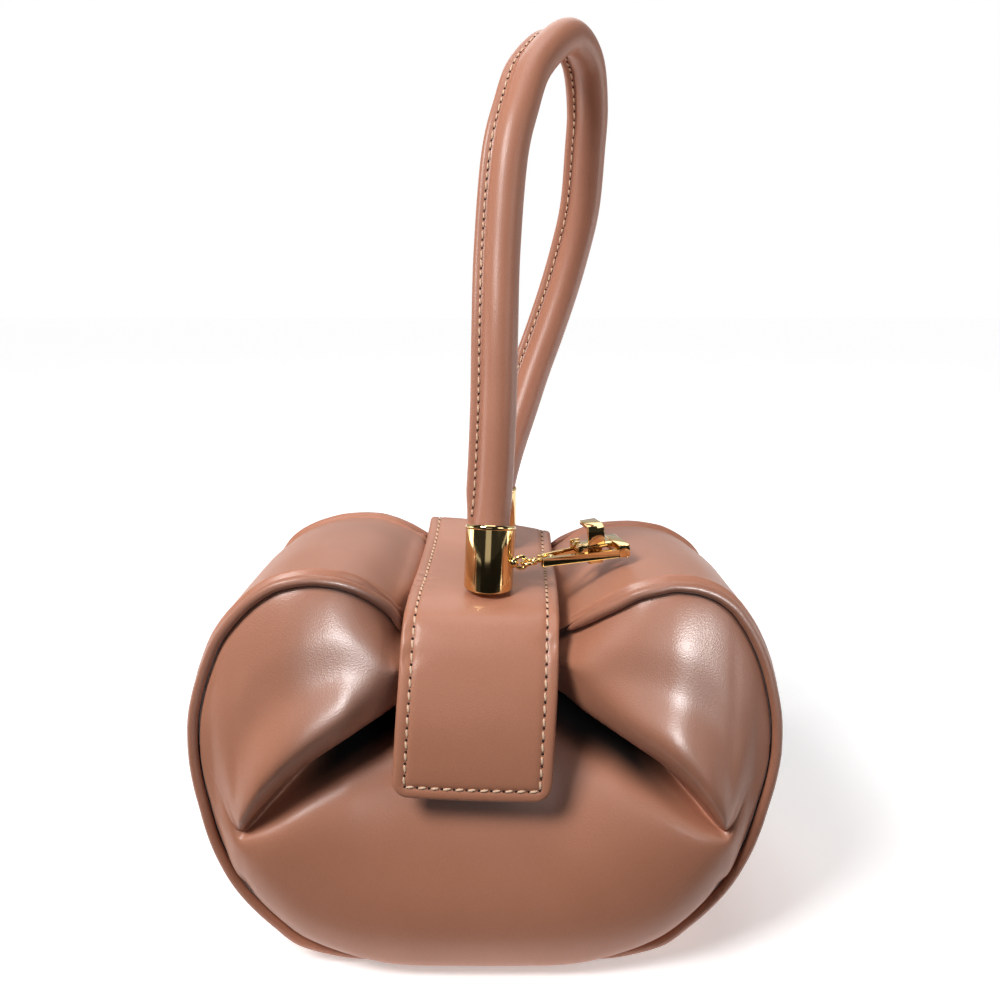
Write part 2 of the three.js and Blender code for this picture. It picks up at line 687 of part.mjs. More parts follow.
// Lever: a barrel on the pin, a plate towards the bar, a jaw below it and an upright bent thumb tab
function clip_lever() {
  const barrel_half = half_width_at(hinge_at - 1.8) - rail_width - 0.35;
  const tab_end = tab_start + tab_length;
  const plate_top = hinge_height + 0.9;
  let lever = rod_along_y(barrel_radius, -barrel_half, barrel_half, hinge_at, hinge_height, 28);
  const near = -lever_half_width;
  const far = lever_half_width;
  const bore_radius = pin_radius + pin_clearance;
  lever = lever.add(block(hinge_at, window_end - 0.6, near, far, hinge_height - 0.7, plate_top));
  lever = lever.add(block(tab_start, tab_end - 0.8, -2.6, 2.6, -4, hinge_height));
  lever = lever.add(block(tab_start, tab_end, near, near + 1.5, hinge_height, tab_height));
  lever = lever.add(block(tab_start, tab_end, near, 6, tab_height - 1.6, tab_height));
  const bore = rod_along_y(bore_radius, -barrel_half - 1, barrel_half + 1, hinge_at, hinge_height, 24);
  return placed(lever.subtract(bore));
}

// Materials and named pieces
const leather = (tone) => new THREE.MeshStandardMaterial({ color: tone, roughness: 0.5, metalness: 0 });
const gold = () => new THREE.MeshStandardMaterial({ color: gold_colour, roughness: 0.15, metalness: 1 });
const group = new THREE.Group();
group.name = 'wristlet_bag';

function add_piece(name, geometry, material) {
  const mesh = new THREE.Mesh(geometry, material);
  mesh.name = name;
  group.add(mesh);
}

add_piece('front_panel', panel(false), leather(leather_colour));
add_piece('back_panel', panel(true), leather(leather_colour));
add_piece('gusset', gusset(), leather('#b68070'));
add_piece('front_piping', piping(false), leather('#a8705a'));
add_piece('back_piping', piping(true), leather('#a8705a'));
add_piece('strap', strap(), leather('#ba8068'));
add_piece('handle', handle(), leather('#b87f69'));
add_piece('front_ferrule', front_ferrule_solid(), gold());
add_piece('rear_ferrule', geometry_of(ferrule_cup(rear_ferrule, 0)), gold());
add_piece('clip_swivel', clip_swivel(), gold());
add_piece('clip_frame', clip_frame(), gold());
add_piece('clip_lever', clip_lever(), gold());

export default group;
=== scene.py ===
# %% [markdown]
# # A small pinched wristlet bag in satin leather
# The bag stands on a pale floor with its flap towards us. Lengths below are in
# millimetres, with X to the right, minus Y to the front and Z up from the base.

# %% Load the frame
import math
from bisect import bisect_right
from functools import lru_cache
import bmesh
import bpy
from mathutils import Matrix, Vector


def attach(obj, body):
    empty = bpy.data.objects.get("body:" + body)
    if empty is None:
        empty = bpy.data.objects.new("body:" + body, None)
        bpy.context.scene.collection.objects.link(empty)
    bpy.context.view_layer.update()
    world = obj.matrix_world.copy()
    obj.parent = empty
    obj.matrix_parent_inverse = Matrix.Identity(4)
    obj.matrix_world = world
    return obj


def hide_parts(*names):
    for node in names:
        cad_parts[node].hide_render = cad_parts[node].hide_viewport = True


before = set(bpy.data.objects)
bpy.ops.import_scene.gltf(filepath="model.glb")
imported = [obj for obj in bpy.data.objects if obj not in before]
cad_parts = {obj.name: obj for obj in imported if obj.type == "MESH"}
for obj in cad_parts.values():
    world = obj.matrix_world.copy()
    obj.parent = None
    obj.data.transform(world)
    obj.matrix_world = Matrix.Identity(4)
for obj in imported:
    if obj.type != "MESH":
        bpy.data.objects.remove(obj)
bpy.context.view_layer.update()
MM = 0.001

# %% [markdown]
# The camera stands 34 cm in front of the bag and looks 13 degrees down, with a
# short lens, so the near belly looks large and the handle's loop recedes. It is
# made first, so that every later piece can be judged from the same place.

# %% Camera
CAMERA_PLACE = (0.005, -0.344, 0.2335)
CAMERA_PITCH = 13
camera = bpy.data.objects.new("camera", bpy.data.cameras.new("camera"))
camera.data.sensor_width = 36
camera.data.lens = 33.98
camera.data.clip_start = 0.01
camera.location = CAMERA_PLACE
camera.rotation_euler = (math.radians(90 - CAMERA_PITCH), 0, 0)
bpy.context.scene.collection.objects.link(camera)
bpy.context.scene.camera = camera
print("camera lens, mm:", round(camera.data.lens, 2), "pitch, degrees:", CAMERA_PITCH)

# %% [markdown]
# Three small helpers serve every curve: a straight mix of two values, a soft
# step between two limits, and a round hump that fades on both sides.


# %% Mixing and easing
def mixed(a, b, share):
    return a + (b - a) * share


def eased(low, high, value):
    share = min(1.0, max(0.0, (value - low) / (high - low)))
    return share * share * (3 - 2 * share)


def hump(value, middle, width):
    return math.exp(-(((value - middle) / width) ** 2))


# %% [markdown]
# The bag's outline is kept in short tables. The seam of a pinched bag follows no
# formula, so a row for each bend is the plainest way to draw it. A value between two
# rows follows a curve that never overshoots, which keeps the seam free of ripples,
# and places are spread as on a round outline, closer together towards the sides.

# %% Tables
HALF_WIDTH = 96.6
SEAM_DEPTH = 58
SIDE_HEIGHT = 82


def spread(x):
    return math.asin(max(-1.0, min(1.0, x / HALF_WIDTH))) * 2 / math.pi


def table(columns, *rows):
    columns = {name: [row[k] for row in rows] for k, name in enumerate(columns.split())}
    columns["place"] = [spread(x) for x in columns["x"]]
    return columns


def value(rows, column, x):
    places, heights = rows["place"], rows[column]
    at = spread(x if places[0] < 0 else abs(x))
    last = len(places) - 1

    def rise(k):
        return (heights[k + 1] - heights[k]) / (places[k + 1] - places[k])

    def slope(k):
        if k == 0:
            return rise(0) if places[0] < 0 else 0.0
        if k == last:
            return rise(last - 1)
        before, after = rise(k - 1), rise(k)
        return 2 * before * after / (before + after) if before * after > 0 else 0.0

    k = min(last - 1, max(0, bisect_right(places, at) - 1))
    span = places[k + 1] - places[k]
    t = min(1.0, (at - places[k]) / span)
    bend = t * t * (3 - 2 * t)
    start = t * (1 - t) ** 2 * span * slope(k)
    end = t * t * (1 - t) * span * slope(k + 1)
    return mixed(heights[k], heights[k + 1], bend) + start - end


front_seam = table(
    "x z pull",
    (-HALF_WIDTH, SIDE_HEIGHT, 0),
    (-96.1, 92, 0),
    (-94, 102, 0),
    (-90.8, 111.5, 0),
    (-86.7, 120.5, 0),
    (-79.5, 129.7, 0),
    (-72.3, 136, 0),
    (-65.4, 139.6, 0),
    (-58.6, 141, 0.2),
    (-55.6, 141.2, 0.5),
    (-49, 140.4, 1.3),
    (-42.8, 138, 3.2),
    (-36.7, 133.6, 6.4),
    (-30.8, 126.6, 11.4),
    (-27, 118, 16.2),
    (-20, 118, 19),
    (-8, 116, 20.4),
    (8, 114.2, 20.4),
    (20, 114.6, 19),
    (25.4, 117, 16.8),
    (30.8, 122.3, 11.4),
    (37, 127.8, 6.4),
    (43.2, 132.2, 3.2),
    (49.3, 136.2, 1.3),
    (55.8, 138.2, 0.5),
    (60.9, 139.2, 0.2),
    (65.8, 138.9, 0),
    (72.6, 137, 0),
    (79.7, 132.3, 0),
    (83.3, 128, 0),
    (87, 122.2, 0),
    (91.4, 112.5, 0),
    (94.4, 102, 0),
    (96.2, 92, 0),
    (HALF_WIDTH, SIDE_HEIGHT, 0),
)
rear_seam = table(
    "x z pull",
    (-HALF_WIDTH, SIDE_HEIGHT, 0),
    (-95.8, 93, 0),
    (-93, 105, 0),
    (-88.6, 116, 0),
    (-82, 124.8, 0),
    (-73.4, 129.7, 0),
    (-66.8, 131.8, 0),
    (-60.6, 133.1, 0),
    (-54.2, 133.5, 0),
    (-47.8, 133.2, 0),
    (-41.6, 131.8, 0.6),
    (-35.2, 129.5, 1.8),
    (-29, 126.6, 3),
    (-20, 123.6, 4.6),
    (0, 120.4, 5),
    (20, 118.6, 4.6),
    (26, 120, 3.6),
    (32, 123.2, 2.4),
    (40.3, 126.5, 1),
    (49.3, 129, 0),
    (60.8, 129.7, 0),
    (72, 128.3, 0),
    (80, 125, 0),
    (88.2, 118.4, 0),
    (93.3, 107, 0),
    (95.9, 94, 0),
    (HALF_WIDTH, SIDE_HEIGHT, 0),
)
lower_seam = table(
    "x z",
    (0, 4.2),
    (33, 4.3),
    (45, 5),
    (51.3, 6.2),
    (62.6, 9.9),
    (71.3, 17.4),
    (78.5, 25.1),
    (84, 32.8),
    (87.8, 40.4),
    (90.6, 47.8),
    (92.6, 55.2),
    (94.1, 62.6),
    (95.5, 69.9),
    (96.3, 76.5),
    (HALF_WIDTH, SIDE_HEIGHT),
)
print("seam height at the lobe's top, mm:", round(value(front_seam, "z", 58.5), 1))

# %% [markdown]
# The seam runs up over the two lobes and down into the pinch between them, where
# it is also drawn back. The back seam stands a little lower and is drawn less. All
# the leather pieces ask these functions for the seam, so they meet along one line.

# %% Seam
PINCH_SHIFT = 1.0
BASE_LEAN = 0.0215
SEAM_STEP = 0.004


def width_at(share):
    return HALF_WIDTH * math.sin(math.pi / 2 * share)


def shifted(x):
    return x - PINCH_SHIFT * (1 - (x / HALF_WIDTH) ** 2)


@lru_cache(maxsize=None)
def seam_point(side, share, rear):
    x = width_at(share)
    if side == "upper":
        z = value(rear_seam if rear else front_seam, "z", x)
    else:
        z = value(lower_seam, "z", x)
    return Vector((x + BASE_LEAN * min(0.0, z - SIDE_HEIGHT), z))


@lru_cache(maxsize=None)
def seam_depth(side, share, rear):
    if side == "lower":
        return SEAM_DEPTH
    return SEAM_DEPTH - value(rear_seam if rear else front_seam, "pull", width_at(share))


@lru_cache(maxsize=None)
def seam_outward(side, share, rear):
    before = seam_point(side, max(-1.0, share - SEAM_STEP), rear)
    after = seam_point(side, min(1.0, share + SEAM_STEP), rear)
    along = (after - before).normalized()
    return Vector((-along.y, along.x)) if side == "upper" else Vector((along.y, -along.x))


print("seam depth in the pinch, mm:", round(seam_depth("upper", 0, False), 1))

# %% [markdown]
# Curves run smoothly through their points. The steps are counted for each span,
# so that mesh lines follow the same feature, such as the fold's ridge.


# %% Smooth curves
def smooth_path(points, steps):
    points = [Vector(point) for point in points]
    line = [2 * points[0] - points[1], *points, 2 * points[-1] - points[-2]]
    if isinstance(steps, int):
        steps = [steps] * (len(points) - 1)
    path = []
    for a, b, c, d, count in zip(line, line[1:], line[2:], line[3:], steps):
        ta = 0.0
        tb = ta + (b - a).length ** 0.5
        tc = tb + (c - b).length ** 0.5
        td = tc + (d - c).length ** 0.5
        for k in range(count):
            t = mixed(tb, tc, k / count)
            ab = a.lerp(b, (t - ta) / (tb - ta))
            bc = b.lerp(c, (t - tb) / (tc - tb))
            cd = c.lerp(d, (t - tc) / (td - tc))
            abc = ab.lerp(bc, (t - ta) / (tc - ta))
            bcd = bc.lerp(cd, (t - tb) / (td - tb))
            path.append(abc.lerp(bcd, (t - tb) / (tc - tb)))
    return [*path, points[-1]]


def evenly_spaced(path, count):
    marks = [0.0]
    for a, b in zip(path, path[1:]):
        marks.append(marks[-1] + (b - a).length)
    spaced = []
    k = 0
    for step in range(count + 1):
        at = marks[-1] * step / count
        while k < len(path) - 2 and marks[k + 1] < at:
            k += 1
        gap = marks[k + 1] - marks[k]
        spaced.append(path[k].lerp(path[k + 1], (at - marks[k]) / gap if gap else 0.0))
    return spaced


def path_length(path):
    return sum((b - a).length for a, b in zip(path, path[1:]))


# %% [markdown]
# A soft piece is a grid whose points are laid on a surface by a function of their
# column and row. A grid keeps its lines along the folds, where a remeshed or sculpted
# form would lose them. The finished piece is smooth shaded, joins its body and hides
# the part of model.glb that it replaces.


# %% Making and placing pieces
def laid_grid(mesh, across, along, place, layer=None, mark=None):
    grid = bmesh.ops.create_grid(mesh, x_segments=across, y_segments=along, size=1.0)
    for vert in grid["verts"]:
        i = round((vert.co.x + 1) / 2 * across)
        j = round((vert.co.y + 1) / 2 * along)
        vert.co = place(i, j) * MM
        if layer:
            vert[layer] = mark(i, j)
    return grid["verts"]


def face_away(mesh, centre):
    centre = Vector(centre) * MM
    lean = sum(f.normal.dot(f.calc_center_median() - centre) * f.calc_area() for f in mesh.faces)
    if lean < 0:
        bmesh.ops.reverse_faces(mesh, faces=mesh.faces[:])


def finished(name, mesh, materials, node, body="bag", flat_angle=None):
    mesh.normal_update()
    data = bpy.data.meshes.new(name)
    mesh.to_mesh(data)
    mesh.free()
    for material in materials:
        data.materials.append(material)
    data.polygons.foreach_set("use_smooth", [True] * len(data.polygons))
    piece = bpy.data.objects.new(name, data)
    bpy.context.scene.collection.objects.link(piece)
    if flat_angle is not None:
        data.set_sharp_from_angle(angle=math.radians(flat_angle))
    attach(piece, body)
    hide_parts(node)
    print(name, "faces:", len(data.polygons))
    return piece


# %% [markdown]
# Colours are written as they look on a screen and turned to linear light once.
# One function adds a node, sets its values and joins its inputs.


# %% Colour and node helpers
def linear(code):
    channels = [int(code[k:k + 2], 16) / 255 for k in (1, 3, 5)]
    bent = [c / 12.92 if c <= 0.04045 else ((c + 0.055) / 1.055) ** 2.4 for c in channels]
    return (*bent, 1.0)


def add_node(tree, kind, inputs=None, **settings):
    node = tree.nodes.new(kind)
    for key, setting in settings.items():
        setattr(node, key, setting)
    for key, source in (inputs or {}).items():
        if isinstance(source, bpy.types.NodeSocket):
            tree.links.new(source, node.inputs[key])
        else:
            node.inputs[key].default_value = source
    return node


def new_material(name):
    material = bpy.data.materials.new(name)
    material.use_nodes = True
    tree = material.node_tree
    return material, tree, tree.nodes["Principled BSDF"]


def per_size(size):
    return 1 / (size * MM)


# %% [markdown]
# Satin calf leather is drum dyed and pressed smooth. It gives the eye an even rose tan
# with faint cloudy shifts of tone, a fine grain that breaks the highlights into specks,
# and a soft broad sheen from its clear finish, here a coat. Calf grain is about a tenth
# of a millimetre wide and is drawn at half a millimetre, so that it shows. Deep inside
# the fold and in the seam grooves an attribute called fold mixes in a near-black: this
# is painted shade, standing for the shadow that falls there.


# %% Leather
CLOUD_SIZE = 30
SPECK_SIZE = 0.45
CELL_SIZE = 0.5
GRAIN_DEPTH = 0.1
GRAIN_STRENGTH = 0.35
COAT_GRAIN_STRENGTH = 0.28
FOLD_SHADE_COLOUR = "#160B08"


def satin_leather(name, deep, pale):
    material, tree, surface = new_material(name)
    place = add_node(tree, "ShaderNodeTexCoord").outputs["Object"]
    cloud = add_node(tree, "ShaderNodeTexNoise",
                     {"Vector": place, "Scale": per_size(CLOUD_SIZE), "Detail": 3.0})
    specks = add_node(tree, "ShaderNodeTexNoise",
                      {"Vector": place, "Scale": per_size(SPECK_SIZE), "Detail": 2.0})
    cells = add_node(tree, "ShaderNodeTexVoronoi",
                     {"Vector": place, "Scale": per_size(CELL_SIZE), "Randomness": 1.0})
    tone = add_node(tree, "ShaderNodeMath",
                    {0: cloud.outputs["Fac"], 1: specks.outputs["Fac"]}, operation="ADD")
    share = add_node(tree, "ShaderNodeMapRange",
                     {"Value": tone.outputs[0], "From Min": 0.6, "From Max": 1.4})
    colour = add_node(tree, "ShaderNodeMix",
                      {"Factor": share.outputs[0], "A": linear(deep), "B": linear(pale)},
                      data_type="RGBA")
    height = add_node(tree, "ShaderNodeMath",
                      {0: cells.outputs["Distance"], 1: specks.outputs["Fac"]}, operation="ADD")
    bump = add_node(tree, "ShaderNodeBump",
                    {"Height": height.outputs[0], "Strength": GRAIN_STRENGTH,
                     "Distance": GRAIN_DEPTH * MM})
    # Painted shade: where the fold attribute is high, a near-black is mixed into the colour for the
    # shadow deep in the fold and in the seam grooves.
    depth = add_node(tree, "ShaderNodeAttribute", attribute_name="fold")
    painted_shade = add_node(tree, "ShaderNodeMix",
                       {"Factor": depth.outputs["Fac"], "A": colour.outputs["Result"],
                        "B": linear(FOLD_SHADE_COLOUR)},
                       data_type="RGBA")
    fine = add_node(tree, "ShaderNodeBump",
                    {"Height": height.outputs[0], "Strength": COAT_GRAIN_STRENGTH,
                     "Distance": GRAIN_DEPTH * MM})
    tree.links.new(painted_shade.outputs["Result"], surface.inputs["Base Color"])
    tree.links.new(bump.outputs["Normal"], surface.inputs["Normal"])
    tree.links.new(fine.outputs["Normal"], surface.inputs["Coat Normal"])
    surface.inputs["Roughness"].default_value = 0.55
    surface.inputs["Specular IOR Level"].default_value = 0.35
    surface.inputs["Coat Weight"].default_value = 0.5
    surface.inputs["Coat Roughness"].default_value = 0.31
    return material


body_leather = satin_leather("Satin calf leather", "#AD7156", "#B97D63")
piping_leather = satin_leather("Piping leather", "#9E664D", "#AC735B")
handle_leather = satin_leather("Rolled handle leather", "#A66C53", "#B37960")
print("leathers:", [material.name for material in bpy.data.materials if "leather" in material.name])

# %% [markdown]
# The front panel is a row of upright sections. From the top seam each one goes out
# over the lobe to a folded ridge, in to a crease, out again over a lip to the belly
# and back to the bottom seam. The ridges together draw the inverted V of the fold.
# A cloth simulation could drape such a panel, but these folds are sewn and pressed in
# and have to keep their places, so tables of heights and depths lay them down.

# %% Panel sections
SEAM_GAP = 2.5
EDGE_INSET = 0.9
EDGE_TUCK = 2.4
LOBE_START = 0.3
LOBE_START_SWELL = 0.7
LOBE_MIDDLE = 0.62
REAR_FOLD_DROP = 0.94
REAR_FOLD_DEPTH = 0.45
FOLD_END = 81
SIDE_START = 91
fold_heights = table(
    "x brow ridge roof crease pocket lip belly under foot",
    (0, 108, 101, 99, 94, 89, 81, 33, 14, 5.2),
    (22, 107, 97.5, 95.5, 91, 86, 78, 33.5, 14, 5.4),
    (30, 104, 93.8, 91.5, 87, 82, 74.5, 34.6, 14.6, 6),
    (46, 96.5, 86.6, 84.4, 80, 75.5, 68, 37.4, 17.5, 9.4),
    (64, 85.5, 75.6, 73.4, 69.4, 65.6, 60.5, 42.5, 24.5, 16.5),
    (73, 76, 67.3, 65.4, 62.4, 59.8, 56.4, 47, 31.5, 24),
    (79.5, 66, 59.6, 58.4, 57, 55.8, 54.4, 50, 37.6, 31),
    (83, 60, 56, 55.6, 55, 54.3, 53.3, 51, 41, 36),
    (HALF_WIDTH, 60, 56, 55.6, 55, 54.3, 53.3, 51, 41, 36),
)
fold_depths = table(
    "x lobe brow ridge roof crease pocket lip belly under foot",
    (0, 40, 41, 38, 28, 20, 36, 50, 69.5, 69.4, 65),
    (22, 47.7, 46.8, 42, 30, 20, 37, 51, 69.5, 69.4, 65),
    (30, 57, 55.5, 49.5, 37, 24, 40.5, 54, 69.5, 69.2, 65),
    (39, 61, 62.6, 55.5, 42, 27.5, 45, 57.8, 69.4, 69, 64.8),
    (46, 63.2, 67.3, 59.3, 46, 31, 49, 60.8, 69.3, 68.6, 64.4),
    (64, 66.6, 72.4, 63.2, 55, 46, 58, 65.4, 68.9, 67.2, 63),
    (73, 66, 72, 64.2, 59.4, 55, 61.6, 66.4, 68.2, 66, 62.4),
    (79.5, 65.6, 69.6, 64.8, 63, 61.6, 63.8, 65.8, 66.8, 64.8, 61.6),
    (84, 64.6, 66.2, 64.6, 64.2, 63.8, 64.2, 64.8, 65, 63.4, 60.8),
    (88, 62.8, 63.2, 62.8, 62.6, 62.5, 62.6, 62.7, 62.6, 61.6, 59.8),
    (92, 60.6, 60.6, 60.5, 60.4, 60.4, 60.4, 60.4, 60.3, 59.8, 58.9),
    (HALF_WIDTH, 58.3, 58.3, 58.3, 58.3, 58.3, 58.3, 58.3, 58.3, 58.3, 58.3),
)
SIDE_SHARES = dict(
    brow=0.5, ridge=0.6, roof=0.63, crease=0.66, pocket=0.7, lip=0.75, belly=0.82, under=0.9, foot=0.96,
)
SECTION_STEPS = [4, 8, 10, 12, 12, 8, 10, 12, 10, 24, 12, 8, 8, 4]


def panel_section(share, rear):
    def inset(side, distance):
        return seam_point(side, share, rear) - distance * seam_outward(side, share, rear)

    top, bottom = inset("upper", SEAM_GAP), inset("lower", SEAM_GAP)
    x = shifted(width_at(share))
    seam = seam_depth("upper", share, rear)
    depth = {name: value(fold_depths, name, x) for name in fold_depths}
    at = {}
    for name, side_share in SIDE_SHARES.items():
        height = value(fold_heights, name, x)
        if rear:
            height *= mixed(REAR_FOLD_DROP, 1, eased(110, 60, height))
        down = (top.y - height) / (top.y - bottom.y)
        at[name] = mixed(down, side_share, eased(FOLD_END, SIDE_START, abs(x)))
    if rear:
        for name in ("lobe", "brow", "ridge"):
            depth[name] = max(depth[name], seam + 1)
        for name in ("roof", "crease", "pocket", "lip"):
            depth[name] = mixed(max(depth["ridge"], depth["lip"]), depth[name], REAR_FOLD_DEPTH)

    def placed(flat, out):
        return Vector((flat.x, out if rear else -out, flat.y))

    def point(down, out):
        return placed(top.lerp(bottom, down), out)

    points = [
        placed(inset("upper", EDGE_INSET), seam - EDGE_TUCK),
        point(0, seam),
        point(LOBE_START * at["brow"], mixed(seam, depth["lobe"], LOBE_START_SWELL)),
        point(LOBE_MIDDLE * at["brow"], depth["lobe"]),
    ]
    points += [point(at[name], depth[name]) for name in SIDE_SHARES]
    points += [point(1, SEAM_DEPTH), placed(inset("lower", EDGE_INSET), SEAM_DEPTH - EDGE_TUCK)]
    # The second value fades the painted shade of the fold's hollow out towards its ends.
    return smooth_path(points, SECTION_STEPS), eased(70, 50, abs(x))


print("rows of a panel:", sum(SECTION_STEPS) + 1)

# %% Front and back panels
PANEL_COLUMNS = 200
PANEL_REACH = 0.988
PANEL_THICKNESS = 1.6
SMOOTH_PASSES = 3
SEAM_SHADE = 0.9
RIDGE_ROW = sum(SECTION_STEPS[:5])
LIP_ROW = sum(SECTION_STEPS[:9])


# Painted shade: the fold attribute turns the leather near-black in the hollow under the ridge and dark
# along both seam grooves.
def hollow_shade(j):
    return eased(RIDGE_ROW + 1, RIDGE_ROW + 6, j) * eased(LIP_ROW - 1, LIP_ROW - 12, j)


def seam_shade(row, last):
    return SEAM_SHADE * eased(5, 2, min(row, last - row))


def panel(name, rear):
    shares = [mixed(-PANEL_REACH, PANEL_REACH, k / PANEL_COLUMNS) for k in range(PANEL_COLUMNS + 1)]
    sections = [panel_section(share, rear) for share in shares]
    mesh = bmesh.new()
    fold = mesh.verts.layers.float.new("fold")
    rows = sum(SECTION_STEPS)
    laid_grid(mesh, PANEL_COLUMNS, rows, lambda i, j: sections[i][0][j],
              fold, lambda i, j: max(sections[i][1] * hollow_shade(j), seam_shade(j, rows)))
    inner = [vert for vert in mesh.verts if not vert.is_boundary]
    for _ in range(SMOOTH_PASSES):
        bmesh.ops.smooth_vert(mesh, verts=inner, factor=0.5,
                              use_axis_x=True, use_axis_y=True, use_axis_z=True)
    mesh.normal_update()
    face_away(mesh, (0, 0, 70))
    piece = finished(name, mesh, [body_leather], name)
    wall = piece.modifiers.new("wall", "SOLIDIFY")
    wall.thickness = PANEL_THICKNESS * MM
    wall.offset = -1
    return piece


front_panel = panel("front_panel", False)
back_panel = panel("back_panel", True)

# %% [markdown]
# The gusset is the band round the bag between both seams, closed in a ring. A soft
# welt runs beside each seam, and the base is flat where the bag stands. A plain loft
# between the seams would look like sheet metal, so each row swells in its middle and
# rolls over at both edges, and the grid lines crowd together near the seams.

# %% Gusset
GUSSET_STEPS = 360
GUSSET_THICKNESS = 2
GUSSET_WIDTH = 106
WELT_HEIGHT = 2.5
WELT_GROOVE = 0.5
TURN_IN = 1.1
TURN_BACK = 0.8
SIDE_SWELL = 4.6
TOP_SWELL = 1.6
BASE_SWELL = 4.2
EDGE_RISE = 1.2
near_seam = [0.5 * k for k in range(14)] + [8, 10, 13, 17, 22, 28, 35, 43, GUSSET_WIDTH / 2]
gusset_places = near_seam + [GUSSET_WIDTH - d for d in reversed(near_seam[:-1])]
gusset_places = [0, 0, *gusset_places, GUSSET_WIDTH, GUSSET_WIDTH]
GUSSET_ACROSS = len(gusset_places) - 1


def gusset_row(side, share):
    front = seam_point(side, share, False)
    rear = seam_point(side, share, True)
    outward = seam_outward(side, share, False)
    front_depth = seam_depth(side, share, False)
    drawn = SEAM_DEPTH - front_depth
    room = max(SEAM_GAP, SEAM_GAP + 0.1 * min(drawn, 22 - drawn))
    rear_depth = seam_depth(side, share, True) - SEAM_GAP
    downward = eased(0.2, 0.8, -outward.y)
    upward = eased(0.1, 0.7, outward.y)
    under_strap = upward * eased(44, 27, abs(front.x))
    row = []
    for k, place in enumerate(gusset_places):
        across = place / GUSSET_WIDTH
        turned_in = max(0, 2 - k, k - GUSSET_ACROSS + 2)
        from_seam = min(place, GUSSET_WIDTH - place)
        roll = WELT_HEIGHT * hump(from_seam, 2.6, 1.5) - WELT_GROOVE * hump(from_seam, 5.3, 0.8)
        roll *= (1 - downward) * (1 - under_strap)
        rise = EDGE_RISE * (1 - 0.5 * under_strap) * eased(0, 8, from_seam)
        swell = mixed(mixed(SIDE_SWELL, TOP_SWELL * (1 - under_strap), upward), BASE_SWELL, downward)
        middle = swell * eased(3, mixed(24, 40, upward), from_seam)
        flat = front.lerp(rear, across) + outward * (roll + rise + middle - TURN_IN * turned_in)
        y = mixed(room - front_depth, rear_depth, across)
        y += TURN_BACK * turned_in * (1 if k > 2 else -1)
        row.append(Vector((flat.x, y, max(0.0, flat.y))))
    return row


half = GUSSET_STEPS // 2
ring = [("upper", -1 + 2 * k / half) for k in range(half)]
ring += [("lower", 1 - 2 * k / half) for k in range(half)]
rows = [gusset_row(side, share) for side, share in ring]
rows.append(rows[0])
mesh = bmesh.new()
# Painted shade: the fold attribute darkens the grooves beside both seams.
fold = mesh.verts.layers.float.new("fold")
laid_grid(mesh, GUSSET_ACROSS, GUSSET_STEPS, lambda i, j: rows[j][i],
          fold, lambda i, j: SEAM_SHADE * eased(4, 2, min(i, GUSSET_ACROSS - i)))
bmesh.ops.remove_doubles(mesh, verts=mesh.verts[:], dist=1e-6)
mesh.normal_update()
face_away(mesh, (0, 0, 70))
gusset = finished("gusset", mesh, [body_leather], "gusset")
wall = gusset.modifiers.new("wall", "SOLIDIFY")
wall.thickness = GUSSET_THICKNESS * MM
wall.offset = -1

# %% [markdown]
# A round piping follows each seam, a strip of leather sewn round a thin cord. Both its
# ends go down beside the strap, where the cord inside stops and the leather closes to a
# rounded tip. A curve with a bevel would give the tube but not the tips, so rings of
# points are laid along the seam, each with its own radius.


# %% Tubes along a path
def path_frames(path, lean):
    frames = []
    for k, point in enumerate(path):
        along = (path[min(k + 1, len(path) - 1)] - path[max(k - 1, 0)]).normalized()
        side = Vector(lean)
        side = (side - along * side.dot(along)).normalized()
        frames.append((point, side, along.cross(side)))
    return frames


def tube(mesh, frames, section):
    around = len(section(0))
    rings = [
        [point + side * a + other * b for a, b in section(k)]
        for k, (point, side, other) in enumerate(frames)
    ]
    laid_grid(mesh, around, len(frames) - 1, lambda i, j: rings[j][i % around])
    bmesh.ops.remove_doubles(mesh, verts=mesh.verts[:], dist=1e-6)
    bmesh.ops.holes_fill(mesh, edges=[e for e in mesh.edges if e.is_boundary], sides=0)
    bmesh.ops.recalc_face_normals(mesh, faces=mesh.faces[:])


def round_section(radius, count=20):
    turns = [2 * math.pi * k / count for k in range(count)]
    return [(radius * math.cos(t), radius * math.sin(t)) for t in turns]


# %% Piping
PIPING_RADIUS = 1.75
PIPING_STEPS = 90
TIP_STEPS = 7


def piping(name, rear):
    left, right = -0.165, 0.165 if rear else 0.186
    places = [("upper", mixed(left, -1, k / PIPING_STEPS)) for k in range(PIPING_STEPS)]
    places += [("lower", k / PIPING_STEPS - 1) for k in range(2 * PIPING_STEPS)]
    places += [("upper", mixed(1, right, k / PIPING_STEPS)) for k in range(PIPING_STEPS + 1)]
    path = []
    for side, share in places:
        flat = seam_point(side, share, rear)
        depth = seam_depth(side, share, rear)
        path.append(Vector((flat.x, depth if rear else -depth, flat.y)))
    frames = path_frames(path, (0, 1 if rear else -1, 0))
    last = len(frames) - 1

    def section(k):
        end = min(1.0, (min(k, last - k) + 0.1) / TIP_STEPS)
        return round_section(PIPING_RADIUS * math.sqrt(1 - (1 - end) ** 2), 16)

    mesh = bmesh.new()
    tube(mesh, frames, section)
    return finished(name, mesh, [piping_leather], name)


front_piping = piping("front_piping", False)
back_piping = piping("back_piping", True)

# %% [markdown]
# The strap is a flat double band with round edges. It comes up the back, lies over
# the pinched top and hangs over the front as the flap. A row of stitches lies in a
# shallow groove close to its edge, all the way round. Its surface is one function of
# the place across and along it, which the stitches use too, so they lie in the groove.

